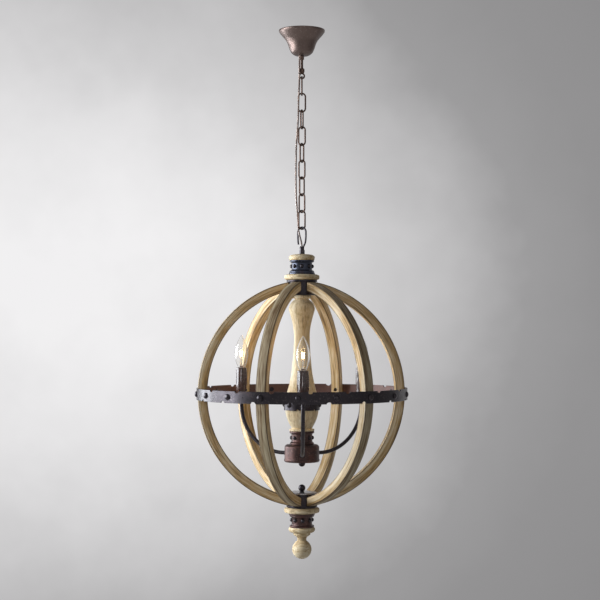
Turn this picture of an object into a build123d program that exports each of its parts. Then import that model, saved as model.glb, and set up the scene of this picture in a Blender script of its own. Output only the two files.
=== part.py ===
from build123d import *
import math
import os

# Orb chandelier: a ceiling group, a chain of nine links, and a wood and iron orb with three
# candle lights. Millimetres, +Z up. The origin is the centre of the ceiling crossbar's top face,
# which lies in the plane of the canopy's rim. Azimuths run from the front (-Y) towards +X.

# ---- fits and clearances ----
wire_gap = 0.3              # free gap between two wires that hang in each other
seat_gap = 0.1              # gap between pieces that are clamped together
bore_gap = 0.2              # radial gap of a hole around what passes through it

# ---- facets of round pieces ----
turned_sides = 18           # large turned and cast pieces
small_sides = 12            # pins, bores, sleeves and bulbs
stud_sides = 6
wire_sides = 8
bend_sides = 12             # chords of a full turn of wire
rib_sides = 40              # chords of a rib's full circle
band_sides = 54             # the bolts stand on the middle of its facets

# ---- ceiling group ----
canopy_radius = 58.5
canopy_height = 66.0
canopy_wall = 1.4
canopy_lip = 3.0            # straight edge of the rim
canopy_foot_radius = 13.0   # flat at the canopy's lowest point
crossbar_length = 98.0
crossbar_width = 20.0
crossbar_thickness = 2.5
crossbar_slot_spacing = 70.0
crossbar_slot_length = 16.0
crossbar_slot_radius = 2.4
nipple_radius = 3.6
nipple_length = 98.0        # from the crossbar's top face to the eye's collar
ceiling_nut_height = 6.0
ceiling_nut_radius = 7.5    # across corners
lock_nut_height = 9.5
lock_nut_radius = 5.6
eye_collar_radius = 6.8
eye_collar_height = 12.5
eye_ring_radius = 6.5       # centre line of the eye's ring
eye_wire_radius = 2.15
eye_yaw = 20.0

# ---- chain ----
link_length = 51.4          # outside length
link_width = 22.0           # outside width
link_wire_radius = 2.1
link_yaws = (90.0, 0.0, 72.0, -22.0, 60.0, -33.0, 50.0, -38.0, 28.0)

# ---- loop at the top of the fixture ----
loop_wire_radius = 2.25
loop_bend_radius = 12.9     # centre line of the loop's crown
loop_height = 58.0          # from the crown's centre line down to the loop's seat
loop_yaw = -38.0
loop_tip_height = 14.5      # free end of the loop above its seat
loop_boss_radius = 5.9
loop_boss_height = 10.0
loop_shank_length = 4.5
loop_nut_radius = 7.2       # across corners
loop_nut_height = 10.2

# ---- centre pipe ----
pipe_radius = 4.85
pipe_wall = 1.1

# ---- turned and cast stack, above and below the orb ----
cap_radius = 33.0
cap_thickness = 16.0
cap_dome = 3.0
collar_height = 36.0
collar_waist_radius = 26.7
collar_top_radius = 31.0
collar_foot_radius = 33.2
collar_top_flange = 4.4
collar_foot_flange = 10.0
ring_radius = 45.0
ring_thickness = 13.7
plate_radius = 39.0
plate_thickness = 5.0
drum_radius = 35.8
drum_height = 30.0
drum_wall = 4.0
hub_plate_radius = 37.5
hub_plate_thickness = 4.0

# ---- studs of the collars and of the column's band ----
stud_radius = 4.4
stud_height = 3.2
stud_count = 6
stud_azimuth = -2.6

# ---- ribs ----
rib_count = 6
rib_first_azimuth = -82.0
rib_arc_radius = 288.5      # outer face, in the rib's own plane
orb_radius = 264.0          # outer face of a rib at the equator, from the axis
rib_depth = 23.0            # radial
rib_width = 25.0            # tangential
rib_outer_chamfer = 2.4

# ---- equator band ----
band_height = 29.0
band_thickness = 3.0
band_bolt_step = 20.0       # degrees between bolts, one on each rib and two between
notch_radius = 4.5
top_notch_shift = 6.2       # degrees from a bolt to the notch in the top edge
foot_notch_shift = -4.0
bolt_head_radius = 7.0
bolt_head_height = 5.2
bolt_neck = 5.2             # width of the square neck
bolt_shank_radius = 2.5
rib_nut_radius = 4.6
rib_nut_height = 4.5
rib_nut_recess = 6.0        # depth of the counterbore in the rib's inner face

# ---- turned column ----
column_disc_radius = 24.0
column_disc_height = 8.3
column_throat_radius = 17.8
column_throat_depth = 10.5
column_shoulder_radius = 33.0
column_shoulder_depth = 35.5
column_waist_radius = 20.0
column_waist_share = 0.306  # depths under the column's top, as shares of its length
column_swell_radius = 25.3
column_swell_share = 0.547
column_breast_radius = 34.5
column_breast_share = 0.684
column_belly_radius = 42.5
column_belly_share = 0.805  # middle of the belly
column_ankle_radius = 25.4
column_bead_radius = 32.0
column_bead_height = 5.2
column_band_height = 28.0
column_band_thickness = 3.0
column_band_azimuth = 15.8

# ---- arm hub under the column ----
base_collar_height = 34.2
base_collar_radius = 31.5
base_waist_radius = 26.5
base_flange = 6.0
hub_radius = 44.0
hub_height = 44.0
hub_wall = 2.5
hub_lip = 1.2
hub_lid_thickness = 3.0
hub_ball_radius = 8.6
hub_clearance = 75.9        # from the lower hub's inner plate up to the arm hub's foot

# ---- arms and candles ----
arm_count = 3
arm_azimuth = 0.8
arm_radius = 4.85
arm_wall = 1.1
arm_exit_depth = 23.0       # arm's axis under the hub's top
arm_bend_radius = 58.0
arm_run_out = 115.0         # where the arm starts to rise, from the axis
arm_shoulder_out = 163.0
arm_shoulder_rise = 40.0
arm_knee_rise = 90.0
candle_circle_radius = 180.0
arm_nut_radius = 7.6
arm_nut_height = 4.5
sleeve_radius = 14.0
sleeve_wall = 2.0
sleeve_length = 71.0
sleeve_top_rise = 63.0      # above the equator
cup_radius = 17.5
cup_thickness = 2.0
cup_boss_radius = 8.5
cup_boss_height = 7.0
socket_radius = 10.4
socket_top_drop = 3.0       # socket's mouth under the sleeve's mouth
socket_seat = 6.0           # length of arm inside the socket
socket_depth = 20.0
bulb_base_radius = 5.95
bulb_base_length = 19.0
bulb_neck_radius = 8.2
bulb_radius = 17.5
bulb_length = 85.0
bulb_belly_height = 42.0
bulb_wall = 0.9

# ---- foot of the orb ----
knob_radius = 9.0
knob_neck_height = 2.0
knob_neck_radius = 6.0
rod_radius = 4.0
finial_disc_radius = 33.5
finial_disc_thickness = 13.2
finial_step_radius = 21.6
finial_step_height = 10.6
finial_neck_radius = 11.5
finial_neck_height = 8.0
finial_ball_radius = 24.4
finial_socket_depth = 30.0  # rod inside the finial

# ---- supply cord ----
cord_radius = 2.2
cord_sides = 6
cord_route = (
    (-6.0, -6.6, -46.0),
    (-6.1, -6.9, -74.0),
    (-6.4, -7.6, -104.0),
    (-6.6, -7.6, -134.0),
    (-8.0, -6.0, -166.0),
    (-8.9, -5.6, -196.0),
    (-9.4, -5.4, -226.0),
    (-11.6, -5.0, -260.0),
    (-14.6, -4.0, -296.0),
    (-15.1, -2.0, -336.0),
    (-15.4, -1.4, -380.0),
    (-14.8, 0.4, -424.0),
    (-12.4, 1.2, -456.0),
    (-10.2, 1.5, -484.0),
    (-9.6, 0.6, -508.0),
    (-4.4, -1.0, -530.0),
    (0.0, 0.0, -546.0),
    (0.0, 0.0, -558.0),
)

# ---- levels that follow from the sizes ----
eye_centre = -(nipple_length + eye_collar_height + eye_ring_radius)
eye_bottom = eye_centre - eye_ring_radius
link_span = link_length - 2 * link_wire_radius
link_pitch = link_span - 2 * link_wire_radius - wire_gap
first_link_top = eye_bottom + eye_wire_radius + link_wire_radius + wire_gap
last_link_foot = first_link_top - (len(link_yaws) - 1) * link_pitch - link_span
loop_crown = last_link_foot + link_wire_radius + loop_wire_radius + wire_gap
loop_seat = loop_crown - loop_height
cap_top = loop_seat - loop_nut_height
rib_offset = rib_arc_radius - orb_radius
rib_end = drum_radius / math.cos(math.pi / turned_sides) + seat_gap
rib_reach = rib_arc_radius / math.cos(math.pi / rib_sides)
rib_rise = math.sqrt(rib_reach ** 2 - (rib_end + rib_offset) ** 2) + seat_gap
collar_top = cap_top - cap_thickness
ring_top = collar_top - collar_height
plate_top = ring_top - ring_thickness
drum_top = plate_top - plate_thickness
equator = drum_top - rib_rise
column_top = drum_top - drum_height - hub_plate_thickness
hub_foot = 2 * equator - column_top + hub_clearance
hub_top = hub_foot + hub_height
column_foot = hub_top + base_collar_height
column_length = column_top - column_foot
arm_level = hub_top - arm_exit_depth
sleeve_top = equator + sleeve_top_rise
sleeve_foot = sleeve_top - sleeve_length
arm_top = sleeve_foot + socket_seat
finial_top = 2 * equator - ring_top - collar_height
band_inner_radius = orb_radius + seat_gap
band_outer_radius = band_inner_radius + band_thickness
pipe_hole = pipe_radius + bore_gap
rod_hole = rod_radius + bore_gap
hub_facet_rise = 0.6        # the hub's round wall under a flat nut


# ---- places ----

def mirrored(level):
    """The same level on the other side of the equator."""
    return 2 * equator - level


def outward(azimuth, radius=0.0, level=0.0):
    """A place whose own +X points away from the axis at that azimuth."""
    return Rot(0, 0, azimuth - 90) * Pos(radius, 0, level)


def around(count, first_azimuth):
    """Azimuths of evenly spaced places."""
    return [first_azimuth + k * 360 / count for k in range(count)]


def group(shape, places):
    """One copy of a solid at each place, as separate solids."""
    return Compound([(place * shape).solid() for place in places])


# ---- faceted round forms ----

def ring_corners(radius, level, sides):
    """Corners of a level polygon whose flats lie at the radius."""
    reach = radius / math.cos(math.pi / sides)
    turns = [2 * math.pi * k / sides for k in range(sides)]
    return [(reach * math.cos(turn), reach * math.sin(turn), level) for turn in turns]


def turned(outline, sides=turned_sides):
    """Turned solid through (radius, level) rings, closed by a flat at each end."""
    rings = [ring_corners(radius, level, sides) for radius, level in outline]
    faces = [Face(Wire.make_polygon(rings[0])), Face(Wire.make_polygon(rings[-1]))]
    for one, two in zip(rings, rings[1:]):
        for k in range(sides):
            corners = [one[k - 1], one[k], two[k], two[k - 1]]
            faces.append(Face(Wire.make_polygon(corners)))
    return Solid(Shell(faces)).clean()


def bore(radius, low, high, sides=small_sides):
    """Upright prism to cut a hole whose flats lie at the radius."""
    return turned([(radius, low), (radius, high)], sides)


def pin(radius, low, high, sides=small_sides):
    """Upright prism whose corners lie at the radius, so that it turns freely in its bore."""
    return bore(radius * math.cos(math.pi / sides), low, high, sides)


def hex_nut(radius, low, high, hole):
    """Upright hexagonal nut."""
    outline = Pos(0, 0, low) * extrude(RegularPolygon(radius, 6), high - low)
    return outline - bore(hole, low - 1, high + 1)


def sideways(shape):
    """An upright shape laid along +X."""
    return Rot(0, 90, 0) * shape


def along(curve, pieces):
    """(radius, level) points that cut a curve of the plane y = 0 into straight pieces."""
    points = [curve @ (k / pieces) for k in range(pieces + 1)]
    return [(point.X, point.Z) for point in points]


def arc(start, middle, end, pieces):
    """(radius, level) points along the arc through three (radius, level) points."""
    return along(ThreePointArc(*[(r, 0, z) for r, z in (start, middle, end)]), pieces)


def spline(points, start, end, pieces):
    """(radius, level) points along a spline with given end directions."""
    curve = Spline(*[(r, 0, z) for r, z in points],
                   tangents=[(start[0], 0, start[1]), (end[0], 0, end[1])])
    return along(curve, pieces)


def ball(radius, centre, first, last, pieces):
    """(radius, level) points on a ball between two latitudes."""
    span = last - first
    turns = [math.radians(first + span * k / pieces) for k in range(pieces + 1)]
    return [(radius * math.cos(turn), centre + radius * math.sin(turn)) for turn in turns]


def half_turn(radius, level):
    """Corners of a half turn of wire in the plane y = 0, from +X over the top to -X."""
    step = 360 / bend_sides
    reach = radius / math.cos(math.radians(step / 2))
    turns = [math.radians(step * (k + 0.5)) for k in range(bend_sides // 2)]
    return [(reach * math.cos(turn), 0, level + reach * math.sin(turn)) for turn in turns]


def wire_section(radius):
    """Faceted round wire, a flat on each side at the radius."""
    return Rot(0, 0, 180 / wire_sides) * RegularPolygon(radius, wire_sides, major_radius=False)


def bent_wire(points, radius):
    """Wire through points of the plane y = 0, mitred at each bend."""
    run = (Vector(*points[1]) - Vector(*points[0])).normalized()
    start = Plane(points[0], x_dir=(run.Z, 0, -run.X), z_dir=run)
    return sweep(start * wire_section(radius), path=Polyline(*points),
                 transition=Transition.RIGHT)


def studded(body, radius, level, first_azimuth):
    """Body with a ring of low studs on its side."""
    head = sideways(turned([(stud_radius, -0.4), (0.55 * stud_radius, stud_height)], stud_sides))
    for azimuth in around(stud_count, first_azimuth):
        body = body + outward(azimuth, radius, level) * head
    return body


# ---- ceiling group ----

def bell(radius, foot):
    """Outline of a bell from its rim at level 0 down to the flat at its foot."""
    depth = -foot
    side = spline([
        (radius, -canopy_lip), (radius - 0.26 * depth, -0.38 * depth),
        (0.49 * radius, -0.83 * depth), (canopy_foot_radius, foot)],
        (-1.0, -0.9), (-1.0, 0.0), 6)
    return [(radius, 0)] + side


def make_canopy():
    """Pressed bell with a holed foot for the nipple and a hole for the cord."""
    outer = turned(bell(canopy_radius, -canopy_height))
    inner = turned([(canopy_radius - canopy_wall, 1)]
                   + bell(canopy_radius - canopy_wall, canopy_wall - canopy_height)[1:])
    cord_x, cord_y, _ = cord_route[0]
    cord_hole = Pos(cord_x, cord_y, 0) * bore(cord_radius + bore_gap, -canopy_height - 1, -40)
    return outer - inner - bore(nipple_radius + bore_gap, -canopy_height - 1, 0) - cord_hole


def make_crossbar():
    """Flat steel bar with a slot at each end for the ceiling box's screws."""
    bar = Box(crossbar_length, crossbar_width, crossbar_thickness)
    bar = Pos(0, 0, -crossbar_thickness / 2) * chamfer(bar.edges().filter_by(Axis.Z), 4.0)
    slot = extrude(SlotOverall(crossbar_slot_length, 2 * crossbar_slot_radius), 20, both=True)
    for side in (-1, 1):
        bar = bar - Pos(side * crossbar_slot_spacing / 2, 0, 0) * slot
    return bar - bore(nipple_radius + bore_gap, -crossbar_thickness - 1, 1)


def make_ceiling_nuts():
    """Nut under the crossbar and the lock nut that carries the canopy."""
    hole = nipple_radius + seat_gap
    under_bar = hex_nut(ceiling_nut_radius, -crossbar_thickness - ceiling_nut_height,
                        -crossbar_thickness, hole)
    lock_top = -canopy_height - seat_gap
    lock = hex_nut(lock_nut_radius, lock_top - lock_nut_height, lock_top, hole)
    return Compound([under_bar.solid(), lock.solid()])


def make_hanging_eye():
    """Collar that screws on the nipple, with the ring that the chain hangs from."""
    low = -nipple_length - eye_collar_height
    collar = turned([
        (0.55 * eye_collar_radius, low - 1.2), (eye_collar_radius, low + 2.5),
        (eye_collar_radius, -nipple_length - 1.5), (eye_collar_radius - 1.5, -nipple_length),
    ], small_sides)
    upper = half_turn(eye_ring_radius, 0)
    lower = [(-x, 0, -z) for x, _, z in upper]
    ring = bent_wire([(eye_ring_radius, 0, 0), *upper, *lower, (eye_ring_radius, 0, 0)],
                     eye_wire_radius)
    thread = bore(nipple_radius + seat_gap, -nipple_length - 8, 0)
    return collar + Pos(0, 0, eye_centre) * Rot(0, 0, eye_yaw) * ring - thread


# ---- chain ----

def make_link():
    """Oval link in the plane y = 0, the middle of its top wire at the origin."""
    bend = link_width / 2 - link_wire_radius
    upper = half_turn(bend, link_span / 2 - bend)
    lower = [(-x, 0, -z) for x, _, z in upper]
    link = bent_wire([(bend, 0, 0), *upper, *lower, (bend, 0, 0)], link_wire_radius)
    return Pos(0, 0, -link_span / 2) * link


def link_place(index):
    """Place of a link's top wire: its level and the turn of its plane."""
    return Pos(0, 0, first_link_top - index * link_pitch) * Rot(0, 0, link_yaws[index])


def make_fixture_loop():
    """Open loop bent from wire, on the boss that takes the cord."""
    crown = loop_height - loop_bend_radius
    foot_x = 0.62 * loop_boss_radius
    foot_z = 0.6 * loop_boss_height
    stem = TangentArc((loop_bend_radius, 0, crown), (foot_x, 0, foot_z), tangent=(0, 0, -1))
    tip = TangentArc((-loop_bend_radius, 0, crown),
                     (-0.86 * loop_bend_radius, 0, loop_tip_height), tangent=(0, 0, -1))
    stem_points = [(x, 0, z) for x, z in along(stem, 4)[1:]]
    tip_points = [(x, 0, z) for x, z in along(tip, 2)[1:]]
    wire = bent_wire([*reversed(stem_points), *half_turn(loop_bend_radius, crown),
                      *tip_points], loop_wire_radius)
    boss = turned([(loop_boss_radius, 0), (loop_boss_radius, loop_boss_height - 3),
                   (loop_boss_radius - 2, loop_boss_height)], small_sides)
    shank = pin(pipe_radius, -loop_shank_length, 1)
    cord_way = bore(cord_radius + 2 * bore_gap, -loop_shank_length - 1, loop_boss_height + 3)
    return Pos(0, 0, loop_seat) * Rot(0, 0, loop_yaw) * (wire + boss + shank - cord_way)


# ---- stack of cap, collar, ring and hub ----

def make_top_cap():
    """Turned wooden cap with a round edge and a domed top."""
    edge = arc((cap_radius - 2, collar_top), (cap_radius, collar_top + 0.45 * cap_thickness),
               (cap_radius - 3, cap_top - cap_dome), 4)
    body = turned(edge + [(0.6 * cap_radius, cap_top - 0.3 * cap_dome),
                          (0.35 * cap_radius, cap_top)])
    return body - bore(pipe_hole, collar_top - 1, cap_top + 1)


def collar_body(foot, hole):
    """Cast spool collar that stands on its foot level."""
    top = foot + collar_height
    waist_top = top - collar_top_flange
    waist_foot = foot + collar_foot_flange
    body = turned([
        (collar_foot_radius, foot), (collar_foot_radius, waist_foot - 3),
        (collar_foot_radius - 2.5, waist_foot), (collar_waist_radius, waist_foot),
        (collar_waist_radius, waist_top), (collar_top_radius, waist_top),
        (collar_top_radius, top),
    ])
    return body - bore(hole, foot - 1, top + 1)


def make_top_collar():
    """Upper collar with its studs."""
    stud_level = 0.5 * (collar_top - collar_top_flange + ring_top + collar_foot_flange)
    return studded(collar_body(ring_top, pipe_hole), collar_waist_radius, stud_level,
                   stud_azimuth)


def ring_body(top, hole):
    """Flat turned ring with a full round edge."""
    foot = top - ring_thickness
    nose = ring_radius - 0.4 * ring_thickness
    edge = arc((nose, foot), (ring_radius, foot + ring_thickness / 2), (nose, top), 4)
    return turned(edge) - bore(hole, foot - 1, top + 1)


def hub_spool(hole):
    """Hub casting: the outer plate on a hollow drum, its plate's top at level 0."""
    drum_foot = -plate_thickness - drum_height
    body = turned([
        (plate_radius - 1.5, 0), (plate_radius, -1.5), (plate_radius, -plate_thickness),
        (drum_radius, -plate_thickness), (drum_radius, drum_foot)])
    inside = bore(drum_radius - drum_wall, drum_foot - 1, -plate_thickness, turned_sides)
    return body - inside - bore(hole, drum_foot - 1, 1)


def hub_plate(hole):
    """Round plate that closes the drum, its upper face at level 0."""
    body = turned([
        (hub_plate_radius, 0), (hub_plate_radius, 1.2 - hub_plate_thickness),
        (hub_plate_radius - 1.2, -hub_plate_thickness)])
    return body - bore(hole, -hub_plate_thickness - 1, 1)


def make_center_pipe():
    """Threaded pipe from the loop's nut down to the ball under the arm hub."""
    top = loop_seat - loop_shank_length - seat_gap
    foot = hub_foot - 0.6 * hub_ball_radius
    return pin(pipe_radius, foot, top) - bore(pipe_radius - pipe_wall, foot - 1, top + 1)


# ---- ribs and equator band ----

def rib_section():
    """Cross section of a rib, +X outward, with its outer corners cut."""
    out = rib_depth / 2
    side = rib_width / 2
    corners = [(-out, side), (out - rib_outer_chamfer, side), (out, side - rib_outer_chamfer)]
    other = [(x, -y) for x, y in reversed(corners)]
    return make_face(Polyline(*corners, *other, close=True))


def make_rib():
    """Bent wooden rib in the plane y = 0, its equator at level 0, cut upright at its ends."""
    step = 360 / rib_sides
    centre_radius = rib_arc_radius - rib_depth / 2
    reach = centre_radius / math.cos(math.radians(step / 2))
    turns = [math.radians(step * (k + 0.5)) for k in range(-rib_sides // 4, rib_sides // 4)]
    points = [(reach * math.cos(t) - rib_offset, 0, reach * math.sin(t)) for t in turns]
    run = (Vector(*points[1]) - Vector(*points[0])).normalized()
    start = Plane(points[0], x_dir=(run.Z, 0, -run.X), z_dir=run)
    body = sweep(start * rib_section(), path=Polyline(*points), transition=Transition.RIGHT)
    inside = Pos(rib_end - rib_arc_radius, 0, 0) * Box(
        2 * rib_arc_radius, 2 * rib_width, 3 * rib_arc_radius)
    shank_hole = sideways(bore(bolt_shank_radius + bore_gap, 0, orb_radius + 1, stud_sides))
    floor = orb_radius - rib_depth + rib_nut_recess
    recess = sideways(bore(rib_nut_radius + bore_gap, 0, floor, wire_sides))
    return body - inside - shank_hole - recess


def band_azimuths(on_ribs):
    """Azimuths of the band's bolts on the ribs, or of the rivets between them."""
    places = []
    for azimuth in around(round(360 / band_bolt_step), rib_first_azimuth):
        nearest = min(abs((azimuth - rib + 180) % 360 - 180)
                      for rib in around(rib_count, rib_first_azimuth))
        if (nearest < 1) == on_ribs:
            places.append(azimuth)
    return places


def make_equator_band():
    """Flat iron hoop with square bolt holes and half round notches in both edges."""
    low = -band_height / 2
    flat = Rot(0, 0, rib_first_azimuth - 90 + 180 / band_sides)
    outer = flat * bore(band_outer_radius, low, -low, band_sides)
    band = outer - flat * bore(band_inner_radius, low - 1, 1 - low, band_sides)
    hole = Box(8 * band_thickness, bolt_neck + 2 * seat_gap, bolt_neck + 2 * seat_gap)
    notch = sideways(bore(notch_radius, -4 * band_thickness, 4 * band_thickness, stud_sides))
    cuts = []
    for azimuth in around(round(360 / band_bolt_step), rib_first_azimuth):
        cuts.append(outward(azimuth, band_outer_radius) * hole)
        cuts.append(outward(azimuth + top_notch_shift, band_outer_radius, -low) * notch)
        cuts.append(outward(azimuth + foot_notch_shift, band_outer_radius, low) * notch)
    return Pos(0, 0, equator) * (band - cuts)


def band_bolt(shank):
    """Bolt along +X, its head's seat at x = 0 and its square neck through the band."""
    head = sideways(turned([
        (bolt_head_radius, seat_gap), (bolt_head_radius, 0.35 * bolt_head_height),
        (0.55 * bolt_head_radius, bolt_head_height)], stud_sides))
    neck = Pos(seat_gap - band_thickness / 2, 0, 0) * Box(band_thickness, bolt_neck, bolt_neck)
    body = head + neck
    if shank:
        body = body + sideways(pin(bolt_shank_radius, -shank, -band_thickness / 2, stud_sides))
    return body


def make_rib_nut():
    """Hexagonal nut on the bolt, in the counterbore of a rib's inner face."""
    floor = orb_radius - rib_depth + rib_nut_recess - seat_gap
    hole = bore(bolt_shank_radius + seat_gap, floor - rib_nut_height - 1, floor + 1, stud_sides)
    outline = Pos(0, 0, floor - rib_nut_height) * extrude(
        RegularPolygon(rib_nut_radius, 6), rib_nut_height)
    return sideways(outline - hole)


# ---- column ----

def belly_seat():
    """Upper and lower level of the part of the belly that the column's band sits on."""
    middle = column_top - column_belly_share * column_length
    return middle + column_band_height / 2, middle - column_band_height / 2


def make_column():
    """Turned column: a disc, a flared shoulder, a slim waist, a belly and a foot bead."""
    belly_top, belly_foot = belly_seat()
    bead_top = column_foot + column_bead_height
    disc_foot = column_top - column_disc_height
    shoulder = column_top - column_shoulder_depth
    throat = column_top - column_throat_depth
    disc = [(column_disc_radius - 1, column_top), (column_disc_radius, column_top - 1),
            (column_disc_radius, disc_foot + 1), (column_throat_radius, disc_foot)]
    flare = arc((column_throat_radius, throat),
                (0.3 * column_throat_radius + 0.7 * column_shoulder_radius,
                 0.5 * (throat + shoulder) + 1.5),
                (column_shoulder_radius, shoulder + 2), 3)
    vase = spline([
        (column_shoulder_radius - 1.5, shoulder - 1),
        (column_waist_radius, column_top - column_waist_share * column_length),
        (column_swell_radius, column_top - column_swell_share * column_length),
        (column_breast_radius, column_top - column_breast_share * column_length),
        (column_belly_radius, belly_top)], (-0.5, -1), (0.18, -1), 8)
    under = spline([
        (column_belly_radius, belly_foot),
        (0.85 * column_belly_radius, 0.5 * (belly_foot + bead_top)),
        (column_ankle_radius, bead_top + 1)], (0, -1), (-0.6, -1), 4)
    bead = [(column_bead_radius - 1.5, bead_top),
            (column_bead_radius, column_foot + column_bead_height / 2),
            (column_bead_radius - 1.5, column_foot)]
    body = turned(disc + flare + vase + under + bead)
    return body - bore(pipe_hole, column_foot - 1, column_top + 1)


def make_column_band():
    """Notched iron hoop with studs round the column's belly."""
    top, foot = belly_seat()
    inner = column_belly_radius + seat_gap
    outer = inner + column_band_thickness
    band = bore(outer, foot, top, turned_sides) - bore(inner, foot - 1, top + 1, turned_sides)
    notch = sideways(bore(0.8 * notch_radius, -3 * column_band_thickness,
                          3 * column_band_thickness, stud_sides))
    for azimuth in around(stud_count, column_band_azimuth + 180 / stud_count):
        for level in (top, foot):
            band = band - outward(azimuth, outer, level) * notch
    return studded(band, outer, (top + foot) / 2, column_band_azimuth)


def make_base_collar():
    """Studded spool between the column's foot and the arm hub."""
    top = column_foot - seat_gap
    body = turned([
        (base_collar_radius - 1, hub_top), (base_collar_radius - 1, hub_top + base_flange),
        (base_waist_radius, hub_top + base_flange), (base_waist_radius, top - base_flange),
        (base_collar_radius, top - base_flange), (base_collar_radius, top)])
    body = body - bore(pipe_hole, hub_top - 1, top + 1)
    return studded(body, base_waist_radius, (top + hub_top) / 2, stud_azimuth)


# ---- arm hub, arms and candles ----

def make_arm_hub():
    """Iron cup, open below, with a rounded shoulder, a flared lip and a hole for each arm."""
    top = hub_top - seat_gap
    lip = hub_radius + hub_lip
    inner = hub_radius - hub_wall
    body = turned([
        (hub_radius - 4, top), (hub_radius, top - 4), (hub_radius, hub_foot + 7),
        (lip, hub_foot + 5), (lip, hub_foot + 3), (hub_radius - 1, hub_foot)])
    inside = turned([
        (inner - 3, top - hub_wall), (inner, top - hub_wall - 3), (inner, hub_foot - 1)])
    body = body - inside - bore(pipe_hole, hub_foot, top + 1)
    hole = sideways(bore(arm_radius + bore_gap, hub_radius - 10, hub_radius + 10))
    for azimuth in around(arm_count, arm_azimuth):
        body = body - outward(azimuth, 0, arm_level) * hole
    return body


def make_arm_hub_lid():
    """Disc that closes the hub from below."""
    low = hub_foot + 0.5
    rim = hub_radius - hub_wall - seat_gap
    return (bore(rim, low, low + hub_lid_thickness, turned_sides)
            - bore(pipe_hole, low - 1, low + 10))


def make_hub_ball():
    """Ball nut that clamps the hub's lid to the centre pipe."""
    seat = hub_foot + 0.5 - seat_gap
    centre = seat - 0.5 * hub_ball_radius
    body = turned(ball(hub_ball_radius, centre, 30, -75, 5), small_sides)
    pipe_end = hub_foot - 0.6 * hub_ball_radius - seat_gap
    return body - bore(pipe_radius + seat_gap, pipe_end, hub_foot + 2)


def make_arm():
    """Bent tube in the plane y = 0, from inside the hub's wall up to the candle."""
    start = hub_radius - hub_wall - 4
    path = FilletPolyline(
        (start, 0, arm_level),
        (arm_run_out, 0, arm_level),
        (arm_shoulder_out, 0, arm_level + arm_shoulder_rise),
        (candle_circle_radius, 0, arm_level + arm_knee_rise),
        (candle_circle_radius, 0, arm_top),
        radius=arm_bend_radius)
    section = RegularPolygon(arm_radius, wire_sides)
    return sweep(Plane(path @ 0, z_dir=path % 0) * section, path=path)


def make_candle_cup():
    """Pan under a candle sleeve, on a boss round the arm's end."""
    low = -cup_thickness - seat_gap
    body = turned([
        (cup_boss_radius - 2, low - cup_boss_height), (cup_boss_radius, low),
        (cup_radius - 1, low), (cup_radius, low + 1), (cup_radius - 0.6, -seat_gap),
    ], small_sides)
    return body - bore(arm_radius + bore_gap, low - cup_boss_height - 1, 1)


def make_lamp_socket():
    """Lamp socket on the arm's end, inside the sleeve."""
    top = sleeve_length - socket_top_drop
    body = bore(socket_radius, seat_gap, top)
    mouth = bore(bulb_base_radius + wire_gap, top - socket_depth, top + 1)
    return body - mouth - bore(arm_radius + bore_gap, 0, socket_seat + seat_gap)


def make_sleeve():
    """Candle sleeve."""
    inside = bore(sleeve_radius - sleeve_wall, -1, sleeve_length + 1)
    return bore(sleeve_radius, 0, sleeve_length) - inside


def flame(wall, foot, top, pieces):
    """Flame shaped outline drawn in by the wall, from its neck to its tip."""
    neck = bulb_neck_radius - wall
    return spline([
        (neck, foot), (0.8 * bulb_radius - wall, 0.3 * bulb_belly_height),
        (bulb_radius - wall, bulb_belly_height),
        (0.66 * bulb_radius - wall, 0.5 * (bulb_belly_height + top) + 2),
        (0.08 * bulb_radius, top)], (0.5, 1), (-0.5, 1), pieces)


def make_bulb_glass():
    """Thin glass envelope that stands on the brass base at the sleeve's mouth."""
    shell = turned(flame(0, 0, bulb_length, 6), small_sides)
    shell = shell - turned(flame(bulb_wall, bulb_wall, bulb_length - 2 * bulb_wall, 6),
                           small_sides)
    return Pos(0, 0, sleeve_length - 1) * shell


def make_bulb_base():
    """Brass screw base with its contact tip."""
    top = sleeve_length - 1
    low = top - bulb_base_length
    floor = sleeve_length - socket_top_drop - socket_depth + wire_gap
    outer = bulb_base_radius * math.cos(math.pi / small_sides)
    return turned([(outer, top), (outer, low + 3), (2.2, low + 0.5), (2.2, floor)],
                  small_sides)


# ---- foot of the orb ----

def make_bottom_knob():
    """Ball headed rod that clamps the lower hub and carries the finial."""
    seat = mirrored(column_top) + seat_gap
    centre = seat + knob_neck_height + 0.85 * knob_radius
    head = turned([(knob_neck_radius, seat), (knob_neck_radius, seat + knob_neck_height)]
                  + ball(knob_radius, centre, -45, 75, 6), small_sides)
    return head + pin(rod_radius, finial_top - finial_socket_depth, centre)


def make_bottom_collar():
    """Lower collar with its studs."""
    body = collar_body(0, rod_hole).mirror(Plane.XY)
    body = Pos(0, 0, finial_top + collar_height) * body
    return studded(body, collar_waist_radius, finial_top + 0.5 * collar_height, stud_azimuth)


def make_finial():
    """Turned finial: a disc, a step, a neck and a ball, with a blind hole for the rod."""
    top = finial_top - seat_gap
    disc_foot = top - finial_disc_thickness
    step_foot = disc_foot - finial_step_height
    centre = step_foot - finial_neck_height - finial_ball_radius
    latitude = math.degrees(math.acos(finial_neck_radius / finial_ball_radius))
    disc = arc((finial_disc_radius - 2, top),
               (finial_disc_radius, top - finial_disc_thickness / 2),
               (finial_disc_radius - 2, disc_foot), 3)
    step = [(finial_step_radius, disc_foot), (finial_step_radius, step_foot + 4)]
    neck = [(finial_neck_radius + 2.5, step_foot - 1)]
    body = turned(disc + step + neck + ball(finial_ball_radius, centre, latitude, -80, 8))
    return body - bore(rod_hole, finial_top - finial_socket_depth - seat_gap, top + 1)


# ---- supply cord ----

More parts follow.
